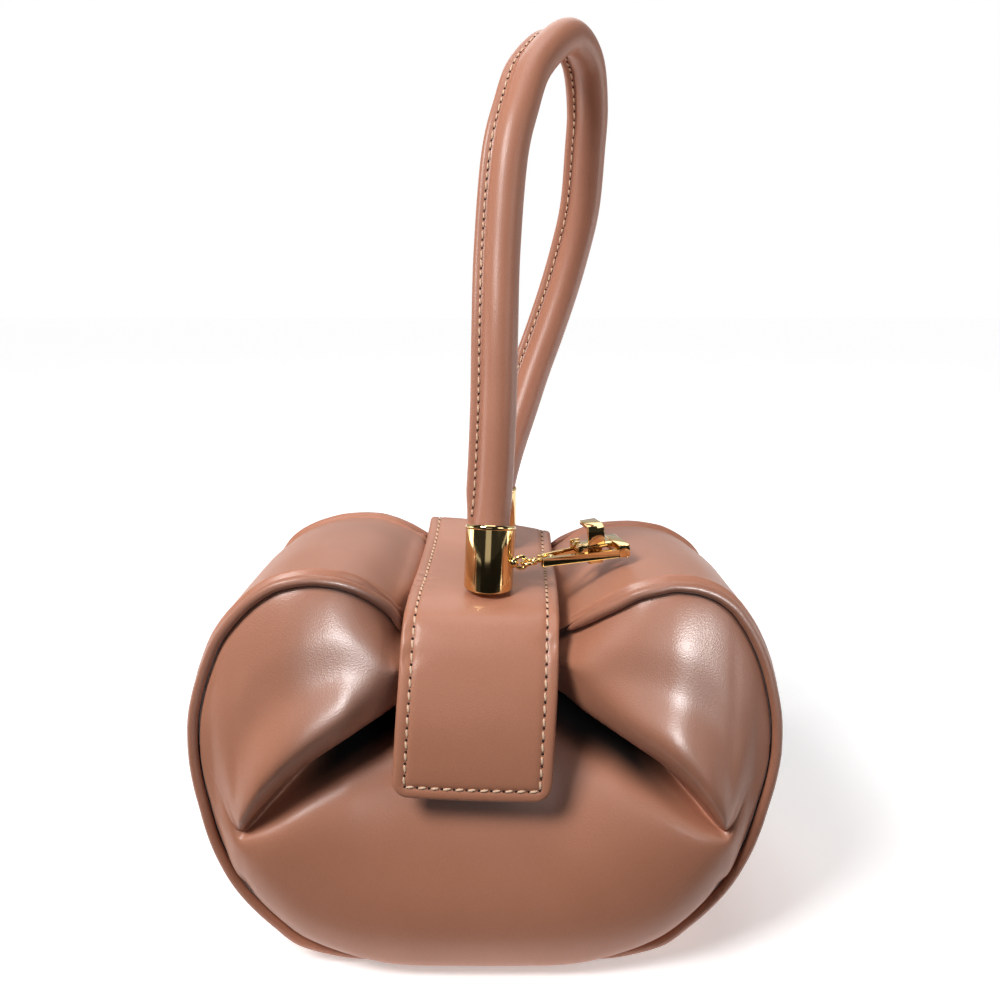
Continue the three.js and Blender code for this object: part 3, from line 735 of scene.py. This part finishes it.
# %% Strap surface
STRAP_THICKNESS = 3.0
STRAP_HALF = 26
STRAP_CORNER = 5.5
STRAP_SAMPLES = 1200
STITCH_INSET = 4.0
strap_line = smooth_path(
    [
        (-4.4, -67.6, 69),
        (-3.6, -66.2, 80),
        (-2.8, -63, 95),
        (-2, -58, 108.5),
        (-1.6, -52.5, 118.2),
        (-1.2, -46.5, 124),
        (-0.9, -38, 126.2),
        (-0.6, -28, 127),
        (0, 0, 126.6),
        (0.5, 30, 126.6),
        (0.8, 44, 128.6),
        (0.9, 54.5, 130),
        (1, 62, 126.5),
        (1, 66.5, 117),
        (1, 68.5, 100),
        (1, 69.5, 84),
        (1, 70.2, 70),
    ],
    40,
)
STRAP_LENGTH = path_length(strap_line)
strap_line = evenly_spaced(strap_line, STRAP_SAMPLES)
print("strap length, mm:", round(STRAP_LENGTH, 1))

# Small dents where the band bends: place across, place along, length and depth.
PUCKERS = [
    (24, 51, 3.0, 0.8),
    (23, 58, 2.6, 0.5),
    (-24, 47, 3.2, 0.8),
    (-24, 55, 2.4, 0.5),
    (-24, 84, 2.2, 0.7),
    (-24, 90, 2.2, 0.8),
    (-24, 97, 2.4, 0.6),
    (24, 92, 2.6, 0.6),
]
PUCKER_WIDTH = 4.5
RIM_RADIUS = 1.5
GROOVE_DEPTH = 0.45
GROOVE_WIDTH = 0.8


def strap_middle(w, s):
    place = min(1.0, max(0.0, s / STRAP_LENGTH)) * STRAP_SAMPLES
    k = min(STRAP_SAMPLES - 1, int(place))
    centre = strap_line[k].lerp(strap_line[k + 1], place - k)
    v = w / STRAP_HALF
    roll = mixed(-0.5 * v, -3.4 * v - 1.2 * (v * v - 0.3), eased(-25, 45, centre.y))
    roll *= eased(100, 122, centre.z)
    corner = 2.2 * ((1 - v) / 2) ** 2 * eased(40, 0, s)
    return Vector((centre.x + w, centre.y, centre.z + roll + corner))


def strap_normal(w, s):
    across = strap_middle(w + 0.5, s) - strap_middle(w - 0.5, s)
    along = strap_middle(w, min(STRAP_LENGTH, s + 0.5)) - strap_middle(w, max(0.0, s - 0.5))
    return across.cross(along).normalized()


def strap_edge(w, s):
    out_w = abs(w) - (STRAP_HALF - STRAP_CORNER)
    out_s = abs(s - STRAP_LENGTH / 2) - (STRAP_LENGTH / 2 - STRAP_CORNER)
    if out_w > 0 and out_s > 0:
        return STRAP_CORNER - math.hypot(out_w, out_s)
    return STRAP_CORNER - max(out_w, out_s)


def strap_lift(w, s):
    inside = max(0.0, strap_edge(w, s))
    rim = min(1.0, inside / RIM_RADIUS)
    roundness = math.sqrt(max(0.0, 1 - (1 - rim) ** 2))
    groove = GROOVE_DEPTH * hump(inside, STITCH_INSET, GROOVE_WIDTH)
    pucker = sum(
        depth * hump(w, across, PUCKER_WIDTH) * hump(s, along, length)
        for across, along, length, depth in PUCKERS
    )
    return STRAP_THICKNESS / 2 * roundness - groove - pucker * eased(0, 2, inside)


# %% Strap
rim_steps = [0, 0.06, 0.2, 0.45, 0.85, 1.4, 2, 2.7, 3.3, 3.7, 4.0, 4.3, 4.7, 5.6]
RIM_REACH = 6.8
middle_steps = [mixed(RIM_REACH, STRAP_HALF, k / 14) for k in range(15)]
inward = rim_steps + middle_steps
across_places = [-STRAP_HALF + d for d in inward]
across_places += [STRAP_HALF - d for d in reversed(inward[:-1])]
long_steps = [mixed(RIM_REACH, STRAP_LENGTH - RIM_REACH, k / 200) for k in range(201)]
along_places = rim_steps + long_steps + [STRAP_LENGTH - d for d in reversed(rim_steps)]


def strap_width_at(s):
    from_end = min(s, STRAP_LENGTH - s)
    corner = max(0.0, STRAP_CORNER - from_end)
    return STRAP_HALF - STRAP_CORNER + math.sqrt(STRAP_CORNER**2 - corner**2)


def strap_place(i, j, side):
    s = along_places[j]
    w = across_places[i] * strap_width_at(s) / STRAP_HALF
    return strap_middle(w, s) + strap_normal(w, s) * side * strap_lift(w, s)


mesh = bmesh.new()
for side in (1, -1):
    laid_grid(mesh, len(across_places) - 1, len(along_places) - 1,
              lambda i, j: strap_place(i, j, side))
bmesh.ops.remove_doubles(mesh, verts=mesh.verts[:], dist=2e-6)
bmesh.ops.recalc_face_normals(mesh, faces=mesh.faces[:])
strap = finished("strap", mesh, [body_leather], "strap")

# %% [markdown]
# The handle is a rolled tube with a flat stitched flange on its left. It rises from
# the front ferrule, leans over to the right and comes down behind into the rear one.
# Its section, a keyhole outline, is swept along a smooth path, with the flange always
# to the left, as a stiff roll of leather keeps it.

# %% Handle
HANDLE_RADIUS = 6.2
FLANGE_REACH = 10.0
FLANGE_HALF = 1.6
FLANGE_IN_CUP = 8.5
FLANGE_ROOT = 5.8
ROLL_SIDES = 32
LIP_SIDES = 8
handle_line = smooth_path(
    [
        (1.4, -27.4, 140.2),
        (1.8, -25.3, 148.6),
        (3, -22.8, 160),
        (4.6, -18.4, 190.7),
        (5.1, -14, 217.4),
        (5.9, -7, 244.3),
        (8.8, 0, 277.8),
        (12.1, 5, 291.6),
        (17.6, 15, 307.8),
        (31, 34, 322),
        (38.4, 46, 316.5),
        (41.4, 54, 300.5),
        (41, 57, 285.3),
        (39.4, 59.5, 262.4),
        (36, 60.5, 246.5),
        (31.4, 60, 230.2),
        (25.8, 58, 213.6),
        (19.6, 54.5, 196.8),
        (13.8, 49, 179.8),
        (8.2, 42, 163.6),
        (4.4, 33, 149),
        (4.2, 32, 139),
    ],
    30,
)
HANDLE_LENGTH = path_length(handle_line)
HANDLE_STEPS = 420
handle_line = evenly_spaced(handle_line, HANDLE_STEPS)
handle_frames = path_frames(handle_line, (-1, 0, 0))
print("handle length, mm:", round(HANDLE_LENGTH, 1))


def handle_section(k):
    from_end = min(k, HANDLE_STEPS - k) * HANDLE_LENGTH / HANDLE_STEPS
    reach = mixed(FLANGE_IN_CUP, FLANGE_REACH, eased(9, 24, from_end))
    open_angle = math.asin(FLANGE_HALF / HANDLE_RADIUS)
    section = []
    for t in range(ROLL_SIDES + 1):
        turn = mixed(open_angle, 2 * math.pi - open_angle, t / ROLL_SIDES)
        section.append((HANDLE_RADIUS * math.cos(turn), HANDLE_RADIUS * math.sin(turn)))
    lip = reach - FLANGE_HALF
    section.append((mixed(FLANGE_ROOT, lip, 0.5), -FLANGE_HALF))
    for t in range(LIP_SIDES + 1):
        turn = mixed(-math.pi / 2, math.pi / 2, t / LIP_SIDES)
        section.append((lip + FLANGE_HALF * math.cos(turn), FLANGE_HALF * math.sin(turn)))
    section.append((mixed(FLANGE_ROOT, lip, 0.5), FLANGE_HALF))
    return section


mesh = bmesh.new()
tube(mesh, handle_frames, handle_section)
finished("handle", mesh, [handle_leather], "handle")

# %% [markdown]
# Stitches are short slanted lengths of waxed linen thread, a little sunk, with a needle
# hole before each one. The thread gives the eye a pale, dull dash. The shade inside the
# hole is painted as a dark dot that parts it from the next. Hundreds of them are
# stretched balls of few faces, gathered and joined into one piece for each row, because
# so many objects would be slow.

# %% Stitches
thread, tree, surface = new_material("Waxed linen thread")
surface.inputs["Base Color"].default_value = linear("#DDBB9E")
surface.inputs["Roughness"].default_value = 0.6
needle_hole, tree, surface = new_material("Needle hole shadow")
surface.inputs["Base Color"].default_value = linear("#2A1712")
surface.inputs["Roughness"].default_value = 0.9


def bead_shape():
    mesh = bmesh.new()
    bmesh.ops.create_uvsphere(mesh, u_segments=8, v_segments=6, radius=1.0)
    points = [vert.co.copy() for vert in mesh.verts]
    faces = [[vert.index for vert in face.verts] for face in mesh.faces]
    mesh.free()
    return points, faces


BEAD_POINTS, BEAD_FACES = bead_shape()
print("faces of a bead:", len(BEAD_FACES))


class Stitching:
    """Thread and needle holes gathered as beads, then joined into one piece."""

    def __init__(self):
        self.points, self.faces, self.kinds = [], [], []

    def bead(self, middle, axes, kind):
        first = len(self.points)
        for p in BEAD_POINTS:
            self.points.append((middle + axes[0] * p.x + axes[1] * p.y + axes[2] * p.z) * MM)
        self.faces += [[first + k for k in face] for face in BEAD_FACES]
        self.kinds += [kind] * len(BEAD_FACES)

    def stitch(self, start, end, normal, width):
        along = (end - start) / 2
        across = normal.cross(along).normalized()
        up = along.cross(across).normalized()
        slant = along + across * width * 0.22
        self.bead(start.lerp(end, 0.5), (slant, across * width / 2, up * width * 0.45), 0)
        # Painted shade: a dark bead stands for the shadow inside the needle hole.
        hole = start - along * 0.2 - normal * 0.1
        round_hole = (along.normalized() * width * 0.55, across * width * 0.5, up * width * 0.3)
        self.bead(hole, round_hole, 1)

    def join(self, name, node):
        data = bpy.data.meshes.new(name)
        data.from_pydata(self.points, [], self.faces)
        data.polygons.foreach_set("material_index", self.kinds)
        mesh = bmesh.new()
        mesh.from_mesh(data)
        bpy.data.meshes.remove(data)
        bmesh.ops.recalc_face_normals(mesh, faces=mesh.faces[:])
        return finished(name, mesh, [thread, needle_hole], node)


# %% Strap stitches
STITCH_PITCH = 4.1
STITCH_WIDTH = 0.95
STITCH_ENDS = (0.14, 0.86)
STITCH_LIFT = 0.12
inset_w = STRAP_HALF - STITCH_INSET
corners = [
    (-inset_w, STRAP_LENGTH - STITCH_INSET),
    (-inset_w, STITCH_INSET),
    (inset_w, STITCH_INSET),
    (inset_w, STRAP_LENGTH - STITCH_INSET),
    (-inset_w, STRAP_LENGTH - STITCH_INSET),
]
stitching = Stitching()
for (w0, s0), (w1, s1) in zip(corners, corners[1:]):
    count = round(math.hypot(w1 - w0, s1 - s0) / STITCH_PITCH)
    for k in range(count):
        ends = []
        for end in STITCH_ENDS:
            share = (k + end) / count
            w, s = mixed(w0, w1, share), mixed(s0, s1, share)
            normal = strap_normal(w, s)
            ends.append(strap_middle(w, s) + normal * (strap_lift(w, s) + STITCH_LIFT))
        stitching.stitch(*ends, normal, STITCH_WIDTH)
strap_stitches = stitching.join("strap_stitches", "strap")

# %% Handle stitches
FLANGE_STITCH_PITCH = 3.3
FLANGE_STITCH_WIDTH = 0.75
FLANGE_STITCH_PLACE = 7.1
FLANGE_STITCH_LIFT = 0.08
HIDDEN_STITCHES = 4
stitching = Stitching()
count = round(HANDLE_LENGTH / FLANGE_STITCH_PITCH)
for face_side in (-1, 1):
    for k in range(HIDDEN_STITCHES, count - HIDDEN_STITCHES):
        ends = []
        for end in STITCH_ENDS:
            point, side, other = handle_frames[round((k + end) / count * HANDLE_STEPS)]
            lift = other * face_side * (FLANGE_HALF + FLANGE_STITCH_LIFT)
            ends.append(point + side * FLANGE_STITCH_PLACE + lift)
        stitching.stitch(*ends, other * face_side, FLANGE_STITCH_WIDTH)
stitching.join("handle_stitches", "handle")

# %% [markdown]
# The fittings are cast and turned brass, polished and plated with gold. To the eye it
# is a warm mirror: bright where it sees the floor and the lamps, and nearly black where
# it sees the dark room behind the camera. A metal needs only a colour and a roughness.

# %% Gold
gold, tree, surface = new_material("Polished gold-plated brass")
surface.inputs["Base Color"].default_value = linear("#EACB90")
surface.inputs["Metallic"].default_value = 1.0
surface.inputs["Roughness"].default_value = 0.09
print("metal:", gold.name)

# %% [markdown]
# Fittings are built from blocks with softened edges, balls, rods and rings, each
# placed in the fitting's own axes and then moved to the bag together. The soft edges
# matter: a polished edge shows as a bright line, and a sharp one would not show at all.


# %% Metal shapes
def touching(verts):
    return list({edge for vert in verts for edge in vert.link_edges})


def soften(mesh, edges, width):
    bmesh.ops.bevel(mesh, geom=edges, offset=width, offset_type="OFFSET", segments=2, profile=0.5,
                    affect="EDGES", material=-1)


def add_block(mesh, low, high, soft=0.25):
    low, high = Vector(low), Vector(high)
    size = Matrix.Diagonal((*(high - low), 1))
    made = bmesh.ops.create_cube(mesh, size=1.0, matrix=Matrix.Translation((low + high) / 2) @ size)
    soften(mesh, touching(made["verts"]), soft)


def add_ball(mesh, middle, radius):
    bmesh.ops.create_uvsphere(mesh, u_segments=24, v_segments=14, radius=radius,
                              matrix=Matrix.Translation(middle))


def sharp_edges(verts):
    return [edge for edge in touching(verts) if edge.calc_face_angle(0) > 1]


def add_rod(mesh, start, end, radius, soft=0.2):
    start, end = Vector(start), Vector(end)
    turn = Vector((0, 0, 1)).rotation_difference(end - start).to_matrix().to_4x4()
    made = bmesh.ops.create_cone(mesh, cap_ends=True, segments=32, radius1=radius, radius2=radius,
                                 depth=(end - start).length,
                                 matrix=Matrix.Translation((start + end) / 2) @ turn)
    soften(mesh, sharp_edges(made["verts"]), soft)


def add_ring(mesh, middle, radius, wire, axis):
    middle, axis = Vector(middle), Vector(axis)
    out = axis.orthogonal().normalized()
    facing = axis.cross(out).to_track_quat("Z", "Y").to_matrix().to_4x4()
    disc = Matrix.Translation(middle + out * radius) @ facing
    made = bmesh.ops.create_circle(mesh, cap_ends=False, segments=14, radius=wire, matrix=disc)
    bmesh.ops.spin(mesh, geom=made["verts"] + touching(made["verts"]), cent=middle, axis=axis,
                   angle=2 * math.pi, steps=36, use_merge=True)


def cleaned(mesh, matrix):
    bmesh.ops.remove_doubles(mesh, verts=mesh.verts[:], dist=1e-4)
    bmesh.ops.recalc_face_normals(mesh, faces=mesh.faces[:])
    bmesh.ops.transform(mesh, matrix=Matrix.Diagonal((MM, MM, MM, 1)) @ matrix, verts=mesh.verts[:])
    return mesh


# %% [markdown]
# Each ferrule is a drawn cup with a rolled rim, turned from one profile. The front
# one leans back with the handle and carries a small knob with an eye for the clip. Its
# foot is sheared level again, so that it still stands flat on the strap.

# %% Ferrules
FERRULE_RADIUS = 8.6
FERRULE_HEIGHT = 21.5
FERRULE_BORE = 7.6
FERRULE_DEPTH = 12
FERRULE_LEAN = 14
FERRULE_TILT = 2.5
FOOT_SLOPE = math.tan(math.radians(FERRULE_LEAN))
RING_RADIUS = 2.1
RING_WIRE = 0.7
swivel_ring_place = Vector((-4, 0, 0))


def turned(degrees, axis):
    return Matrix.Rotation(math.radians(degrees), 4, axis)


front_ferrule_base = Matrix.Translation((0.9, -30, 129.9))
front_ferrule_base @= turned(FERRULE_TILT, "Y") @ turned(-FERRULE_LEAN, "X")
rear_ferrule_base = Matrix.Translation((3, 32, 130.6))
clip_place = Matrix.Translation((18.6, -29, 139.2))
clip_place @= turned(14.4, "Z") @ turned(-5.5, "Y")
swivel_ring = clip_place @ swivel_ring_place
ferrule_profile = [
    (0, 0),
    (FERRULE_RADIUS - 0.8, 0),
    (FERRULE_RADIUS - 0.25, 0.2),
    (FERRULE_RADIUS, 0.8),
    (FERRULE_RADIUS, FERRULE_HEIGHT - 1.7),
    (FERRULE_RADIUS, FERRULE_HEIGHT - 1.5),
    (FERRULE_RADIUS + 0.2, FERRULE_HEIGHT - 1.3),
    (FERRULE_RADIUS + 0.28, FERRULE_HEIGHT - 0.8),
    (FERRULE_RADIUS + 0.15, FERRULE_HEIGHT - 0.3),
    (FERRULE_RADIUS - 0.15, FERRULE_HEIGHT),
    (FERRULE_BORE, FERRULE_HEIGHT),
    (FERRULE_BORE, FERRULE_HEIGHT - FERRULE_DEPTH),
    (0, FERRULE_HEIGHT - FERRULE_DEPTH),
]


def add_cup(mesh, matrix):
    verts = [mesh.verts.new(matrix @ Vector((r, 0, h))) for r, h in ferrule_profile]
    edges = [mesh.edges.new(pair) for pair in zip(verts, verts[1:])]
    axis = matrix.to_3x3() @ Vector((0, 0, 1))
    bmesh.ops.spin(mesh, geom=verts + edges, cent=matrix.translation, axis=axis, angle=2 * math.pi,
                   steps=96, use_merge=True)


mesh = bmesh.new()
add_cup(mesh, front_ferrule_base)
to_cup = front_ferrule_base.inverted()
for vert in mesh.verts:
    place = to_cup @ vert.co
    place.z += FOOT_SLOPE * place.y * (1 - place.z / FERRULE_HEIGHT)
    vert.co = front_ferrule_base @ place
eye = swivel_ring - Vector((2.4, 0, 0))
add_ball(mesh, eye - Vector((2.7, 0, 0)), 1.9)
add_ring(mesh, eye, RING_RADIUS, RING_WIRE, (0, 1, 0))
finished("front_ferrule", cleaned(mesh, Matrix.Identity(4)), [gold],
         "front_ferrule", flat_angle=35)
mesh = bmesh.new()
add_cup(mesh, rear_ferrule_base)
finished("rear_ferrule", cleaned(mesh, Matrix.Identity(4)), [gold],
         "rear_ferrule", flat_angle=35)

# %% [markdown]
# The clip hangs from the eye by a swivel. Its frame is a narrow A with a bar across
# the wide end and two ears for the hinge pin. It is laid out along X in the clip's own
# axes, where each part is a plain block, rod or ball, and then turned into place.

# %% Clip swivel
mesh = bmesh.new()
add_ring(mesh, swivel_ring_place, RING_RADIUS, RING_WIRE, (0, 0, 1))
add_rod(mesh, (-1.9, 0, 0), (3.6, 0, 0), 0.8)
add_ball(mesh, (-1.75, 0, 0), 1.4)
add_ball(mesh, (4.2, 0, 0), 1.5)
finished("clip_swivel", cleaned(mesh, clip_place), [gold], "clip_swivel", flat_angle=40)

# %% Clip frame
FRAME_LENGTH = 30
NARROW_HALF = 3
RAIL_SPREAD = 4.6
RAIL_WIDTH = 1.4
RAIL_HALF_HEIGHT = 1.4
RAIL_ENDS = (0.4, 29.6)
PIN_ALONG = 14.8
PIN_HEIGHT = 2.6
PIN_RADIUS = 0.7
EDGE_SOFT = 0.3


def rail_half(along):
    return NARROW_HALF + RAIL_SPREAD * along / FRAME_LENGTH


def add_rail(mesh, sign):
    made = bmesh.ops.create_cube(mesh, size=1.0)
    for vert in made["verts"]:
        along = RAIL_ENDS[0] if vert.co.x < 0 else RAIL_ENDS[1]
        across = rail_half(along) - (0 if vert.co.y > 0 else RAIL_WIDTH)
        height = RAIL_HALF_HEIGHT if vert.co.z > 0 else -RAIL_HALF_HEIGHT
        vert.co = Vector((along, sign * across, height))
    soften(mesh, touching(made["verts"]), EDGE_SOFT)


def add_side_block(mesh, sign, low, high):
    near, far = sorted((sign * low[1], sign * high[1]))
    add_block(mesh, (low[0], near, low[2]), (high[0], far, high[2]), EDGE_SOFT)


mesh = bmesh.new()
for sign in (-1, 1):
    add_rail(mesh, sign)
    add_side_block(mesh, sign, (13.1, 3.9, 0), (16.5, 5.0, 4.3))
    add_side_block(mesh, sign, (0, 1.2, -RAIL_HALF_HEIGHT), (2.4, NARROW_HALF, RAIL_HALF_HEIGHT))
add_block(mesh, (27, -7.7, -1.6), (30.9, 7.7, 2.9), 0.4)
add_rod(mesh, (PIN_ALONG, -5.1, PIN_HEIGHT), (PIN_ALONG, 5.1, PIN_HEIGHT), PIN_RADIUS, 0.15)
finished("clip_frame", cleaned(mesh, clip_place), [gold], "clip_frame", flat_angle=40)

# %% [markdown]
# The lever turns on the pin. Its plate reaches towards the bar, a jaw hangs below,
# and a broad strip is bent up and back over itself as the thumb tab. It is a piece of
# its own on the body called lever, so that it turns with the joint.

# %% Clip lever
KNUCKLE_RADIUS = 1.65
TAB_START = 17.5
TAB_WIDTH = 6
mesh = bmesh.new()
for sign in (-1, 1):
    knuckle = [(PIN_ALONG, sign * across, PIN_HEIGHT) for across in (0.9, 3.2)]
    add_rod(mesh, *knuckle, KNUCKLE_RADIUS, 0.25)
add_block(mesh, (15.4, -3.3, 1.95), (26.1, 3.3, 3.45), EDGE_SOFT)
add_block(mesh, (17.6, -2.5, -3.9), (22.6, 2.5, 2.4), 0.4)
tab_outline = [
    (-3.35, 2.6),
    (-3.35, 9.0),
    (-2.95, 9.95),
    (-2.0, 10.35),
    (5.9, 10.35),
    (5.9, 8.85),
    (-1.55, 8.85),
    (-1.85, 8.55),
    (-1.85, 2.6),
]
verts = [mesh.verts.new((TAB_START, y, z)) for y, z in tab_outline]
face = mesh.faces.new(verts)
made = bmesh.ops.extrude_face_region(mesh, geom=[face])
moved = [item for item in made["geom"] if isinstance(item, bmesh.types.BMVert)]
bmesh.ops.translate(mesh, vec=(TAB_WIDTH, 0, 0), verts=moved)
soften(mesh, sharp_edges(verts + moved), EDGE_SOFT)
finished("clip_lever", cleaned(mesh, clip_place), [gold], "clip_lever",
         body="lever", flat_angle=40)

# %% [markdown]
# The panels, the gusset and the strap are sheets of leather. Their areas, and the
# strap's length, are measured on the finished surfaces, because leather bends in these
# folds but hardly stretches. The rectangles that the panels and the gusset were cut
# from are rounded estimates.


# %% Leather sheets
def surface_area(piece):
    return sum(polygon.area for polygon in piece.data.polygons)


for piece in (front_panel, back_panel, gusset, strap):
    print(piece.name, "surface, m2:", round(surface_area(piece), 4))

# %% [markdown]
# A pale floor carries the bag, in front of a white backdrop. The key lamp stands high
# on the left, so the flap throws its shadow on the belly, and weaker lamps stand above,
# behind and at both sides. The gold mirrors dim walls, with one grey flat behind the
# camera as a pale strip between two black bands. A low strip lamp gives the lobes their
# long soft highlights, and a black flag keeps it off the belly. A sky picture could
# light all this, but lamps and cards can be placed one by one for each highlight.


# %% Floor
def stage_piece(name, mesh, *materials):
    data = bpy.data.meshes.new(name)
    mesh.to_mesh(data)
    mesh.free()
    for material in materials:
        data.materials.append(material)
    piece = bpy.data.objects.new(name, data)
    bpy.context.scene.collection.objects.link(piece)
    return piece


floor_material, tree, surface = new_material("Pale floor")
surface.inputs["Base Color"].default_value = (0.9, 0.9, 0.9, 1)
surface.inputs["Roughness"].default_value = 0.9
surface.inputs["Emission Color"].default_value = (1, 1, 1, 1)
place = add_node(tree, "ShaderNodeTexCoord").outputs["Object"]
distance = add_node(tree, "ShaderNodeVectorMath", {0: place}, operation="LENGTH")
glow = add_node(tree, "ShaderNodeMapRange", {"Value": distance.outputs["Value"], "From Min": 0.25,
                "From Max": 0.9, "To Min": 0.36, "To Max": 0.95})
tree.links.new(glow.outputs[0], surface.inputs["Emission Strength"])
mesh = bmesh.new()
bmesh.ops.create_grid(mesh, x_segments=1, y_segments=1, size=6.0)
stage_piece("floor", mesh, floor_material)
print("floor material:", floor_material.name)


# %% Cards and walls
def black_material(name):
    material, tree, surface = new_material(name)
    surface.inputs["Base Color"].default_value = linear("#101010")
    surface.inputs["Roughness"].default_value = 1.0
    return material


def glow_material(name, strength):
    material, tree, surface = new_material(name)
    surface.inputs["Base Color"].default_value = (0, 0, 0, 1)
    surface.inputs["Specular IOR Level"].default_value = 0.0
    surface.inputs["Emission Color"].default_value = (1, 1, 1, 1)
    surface.inputs["Emission Strength"].default_value = strength
    return material


def unseen_card(name, place, size, material):
    mesh = bmesh.new()
    bmesh.ops.create_grid(mesh, x_segments=1, y_segments=1, size=0.5)
    bmesh.ops.scale(mesh, vec=(*size, 1), verts=mesh.verts[:])
    bmesh.ops.transform(mesh, matrix=place, verts=mesh.verts[:])
    card = stage_piece(name, mesh, material)
    card.visible_camera = False
    card.visible_shadow = False
    return card


def upright(place):
    return Matrix.Translation(place) @ turned(90, "X")


cloth_place = Matrix.Translation((0, -3.045, 0.001))
unseen_card("black cloth", cloth_place, (6, 5.92), black_material("Black cloth"))
unseen_card("grey flat", upright((-0.21, -1.5, 0.4)), (0.68, 0.8), glow_material("Grey flat", 0.5))
flag = unseen_card("flag", upright((0.15, -0.41, 0.07)), (0.9, 0.14), black_material("Black flag"))
flag.visible_shadow = True


DIM_LIMIT = 0.3


def dome(name, radius, *materials):
    mesh = bmesh.new()
    bmesh.ops.create_uvsphere(mesh, u_segments=32, v_segments=16, radius=radius)
    for face in mesh.faces:
        if face.calc_center_median().y < DIM_LIMIT * radius:
            face.material_index = len(materials) - 1
    return stage_piece(name, mesh, *materials)


backdrop = dome("backdrop", 9.0, glow_material("White backdrop", 1.0))
backdrop.visible_diffuse = False
backdrop.visible_glossy = False
walls = dome("walls", 8.0, glow_material("White wall", 0.5), glow_material("Dim wall", 0.03))
walls.visible_camera = False
walls.visible_diffuse = False
walls.visible_shadow = False
print("dim faces of the walls:", sum(f.material_index for f in walls.data.polygons))

# %% [markdown]
# Every lamp is a soft rectangle aimed at the middle of the bag. The strip lamp acts on
# gloss only, and only on the panels, the gusset and the piping, so that the strap and
# the handle keep their duller look. The sky stays dark, since the lamps do all the work.


# %% Lamps and sky
def soft_lamp(name, place, target, size, power):
    lamp = bpy.data.objects.new(name, bpy.data.lights.new(name, "AREA"))
    lamp.data.shape = "RECTANGLE"
    lamp.data.size, lamp.data.size_y = size
    lamp.data.energy = power
    lamp.location = place
    aim = Vector(target) - Vector(place)
    lamp.rotation_euler = aim.to_track_quat("-Z", "Y").to_euler()
    bpy.context.scene.collection.objects.link(lamp)
    return lamp


TARGET = (0, -0.03, 0.09)
soft_lamp("key lamp", (-0.5, -0.55, 0.85), TARGET, (0.35, 0.35), 11)
soft_lamp("overhead lamp", (0, 0, 1.2), TARGET, (0.6, 0.6), 3)
soft_lamp("rear lamp", (0, 0.6, 0.8), TARGET, (0.6, 0.6), 1.8)
soft_lamp("right lamp", (0.65, -0.55, 0.5), TARGET, (0.4, 0.4), 1.2)
for name, x, power in (("left low lamp", -0.85, 1.3), ("right low lamp", 0.85, 1.3)):
    soft_lamp(name, (x, 0.1, 0.15), TARGET, (0.4, 0.4), power)
sheen_lamp = soft_lamp("sheen lamp", (0.3, -0.75, 0.2), TARGET, (0.3, 0.05), 11)
sheen_lamp.visible_diffuse = False
soft_pieces = bpy.data.collections.new("soft pieces")
for piece in (front_panel, back_panel, gusset, front_piping, back_piping):
    soft_pieces.objects.link(piece)
sheen_lamp.light_linking.receiver_collection = soft_pieces
world = bpy.data.worlds.new("studio")
bpy.context.scene.world = world
world.use_nodes = True
world.node_tree.nodes["Background"].inputs["Color"].default_value = (1, 1, 1, 1)
world.node_tree.nodes["Background"].inputs["Strength"].default_value = 0.0
bpy.context.scene.view_settings.view_transform = "Standard"
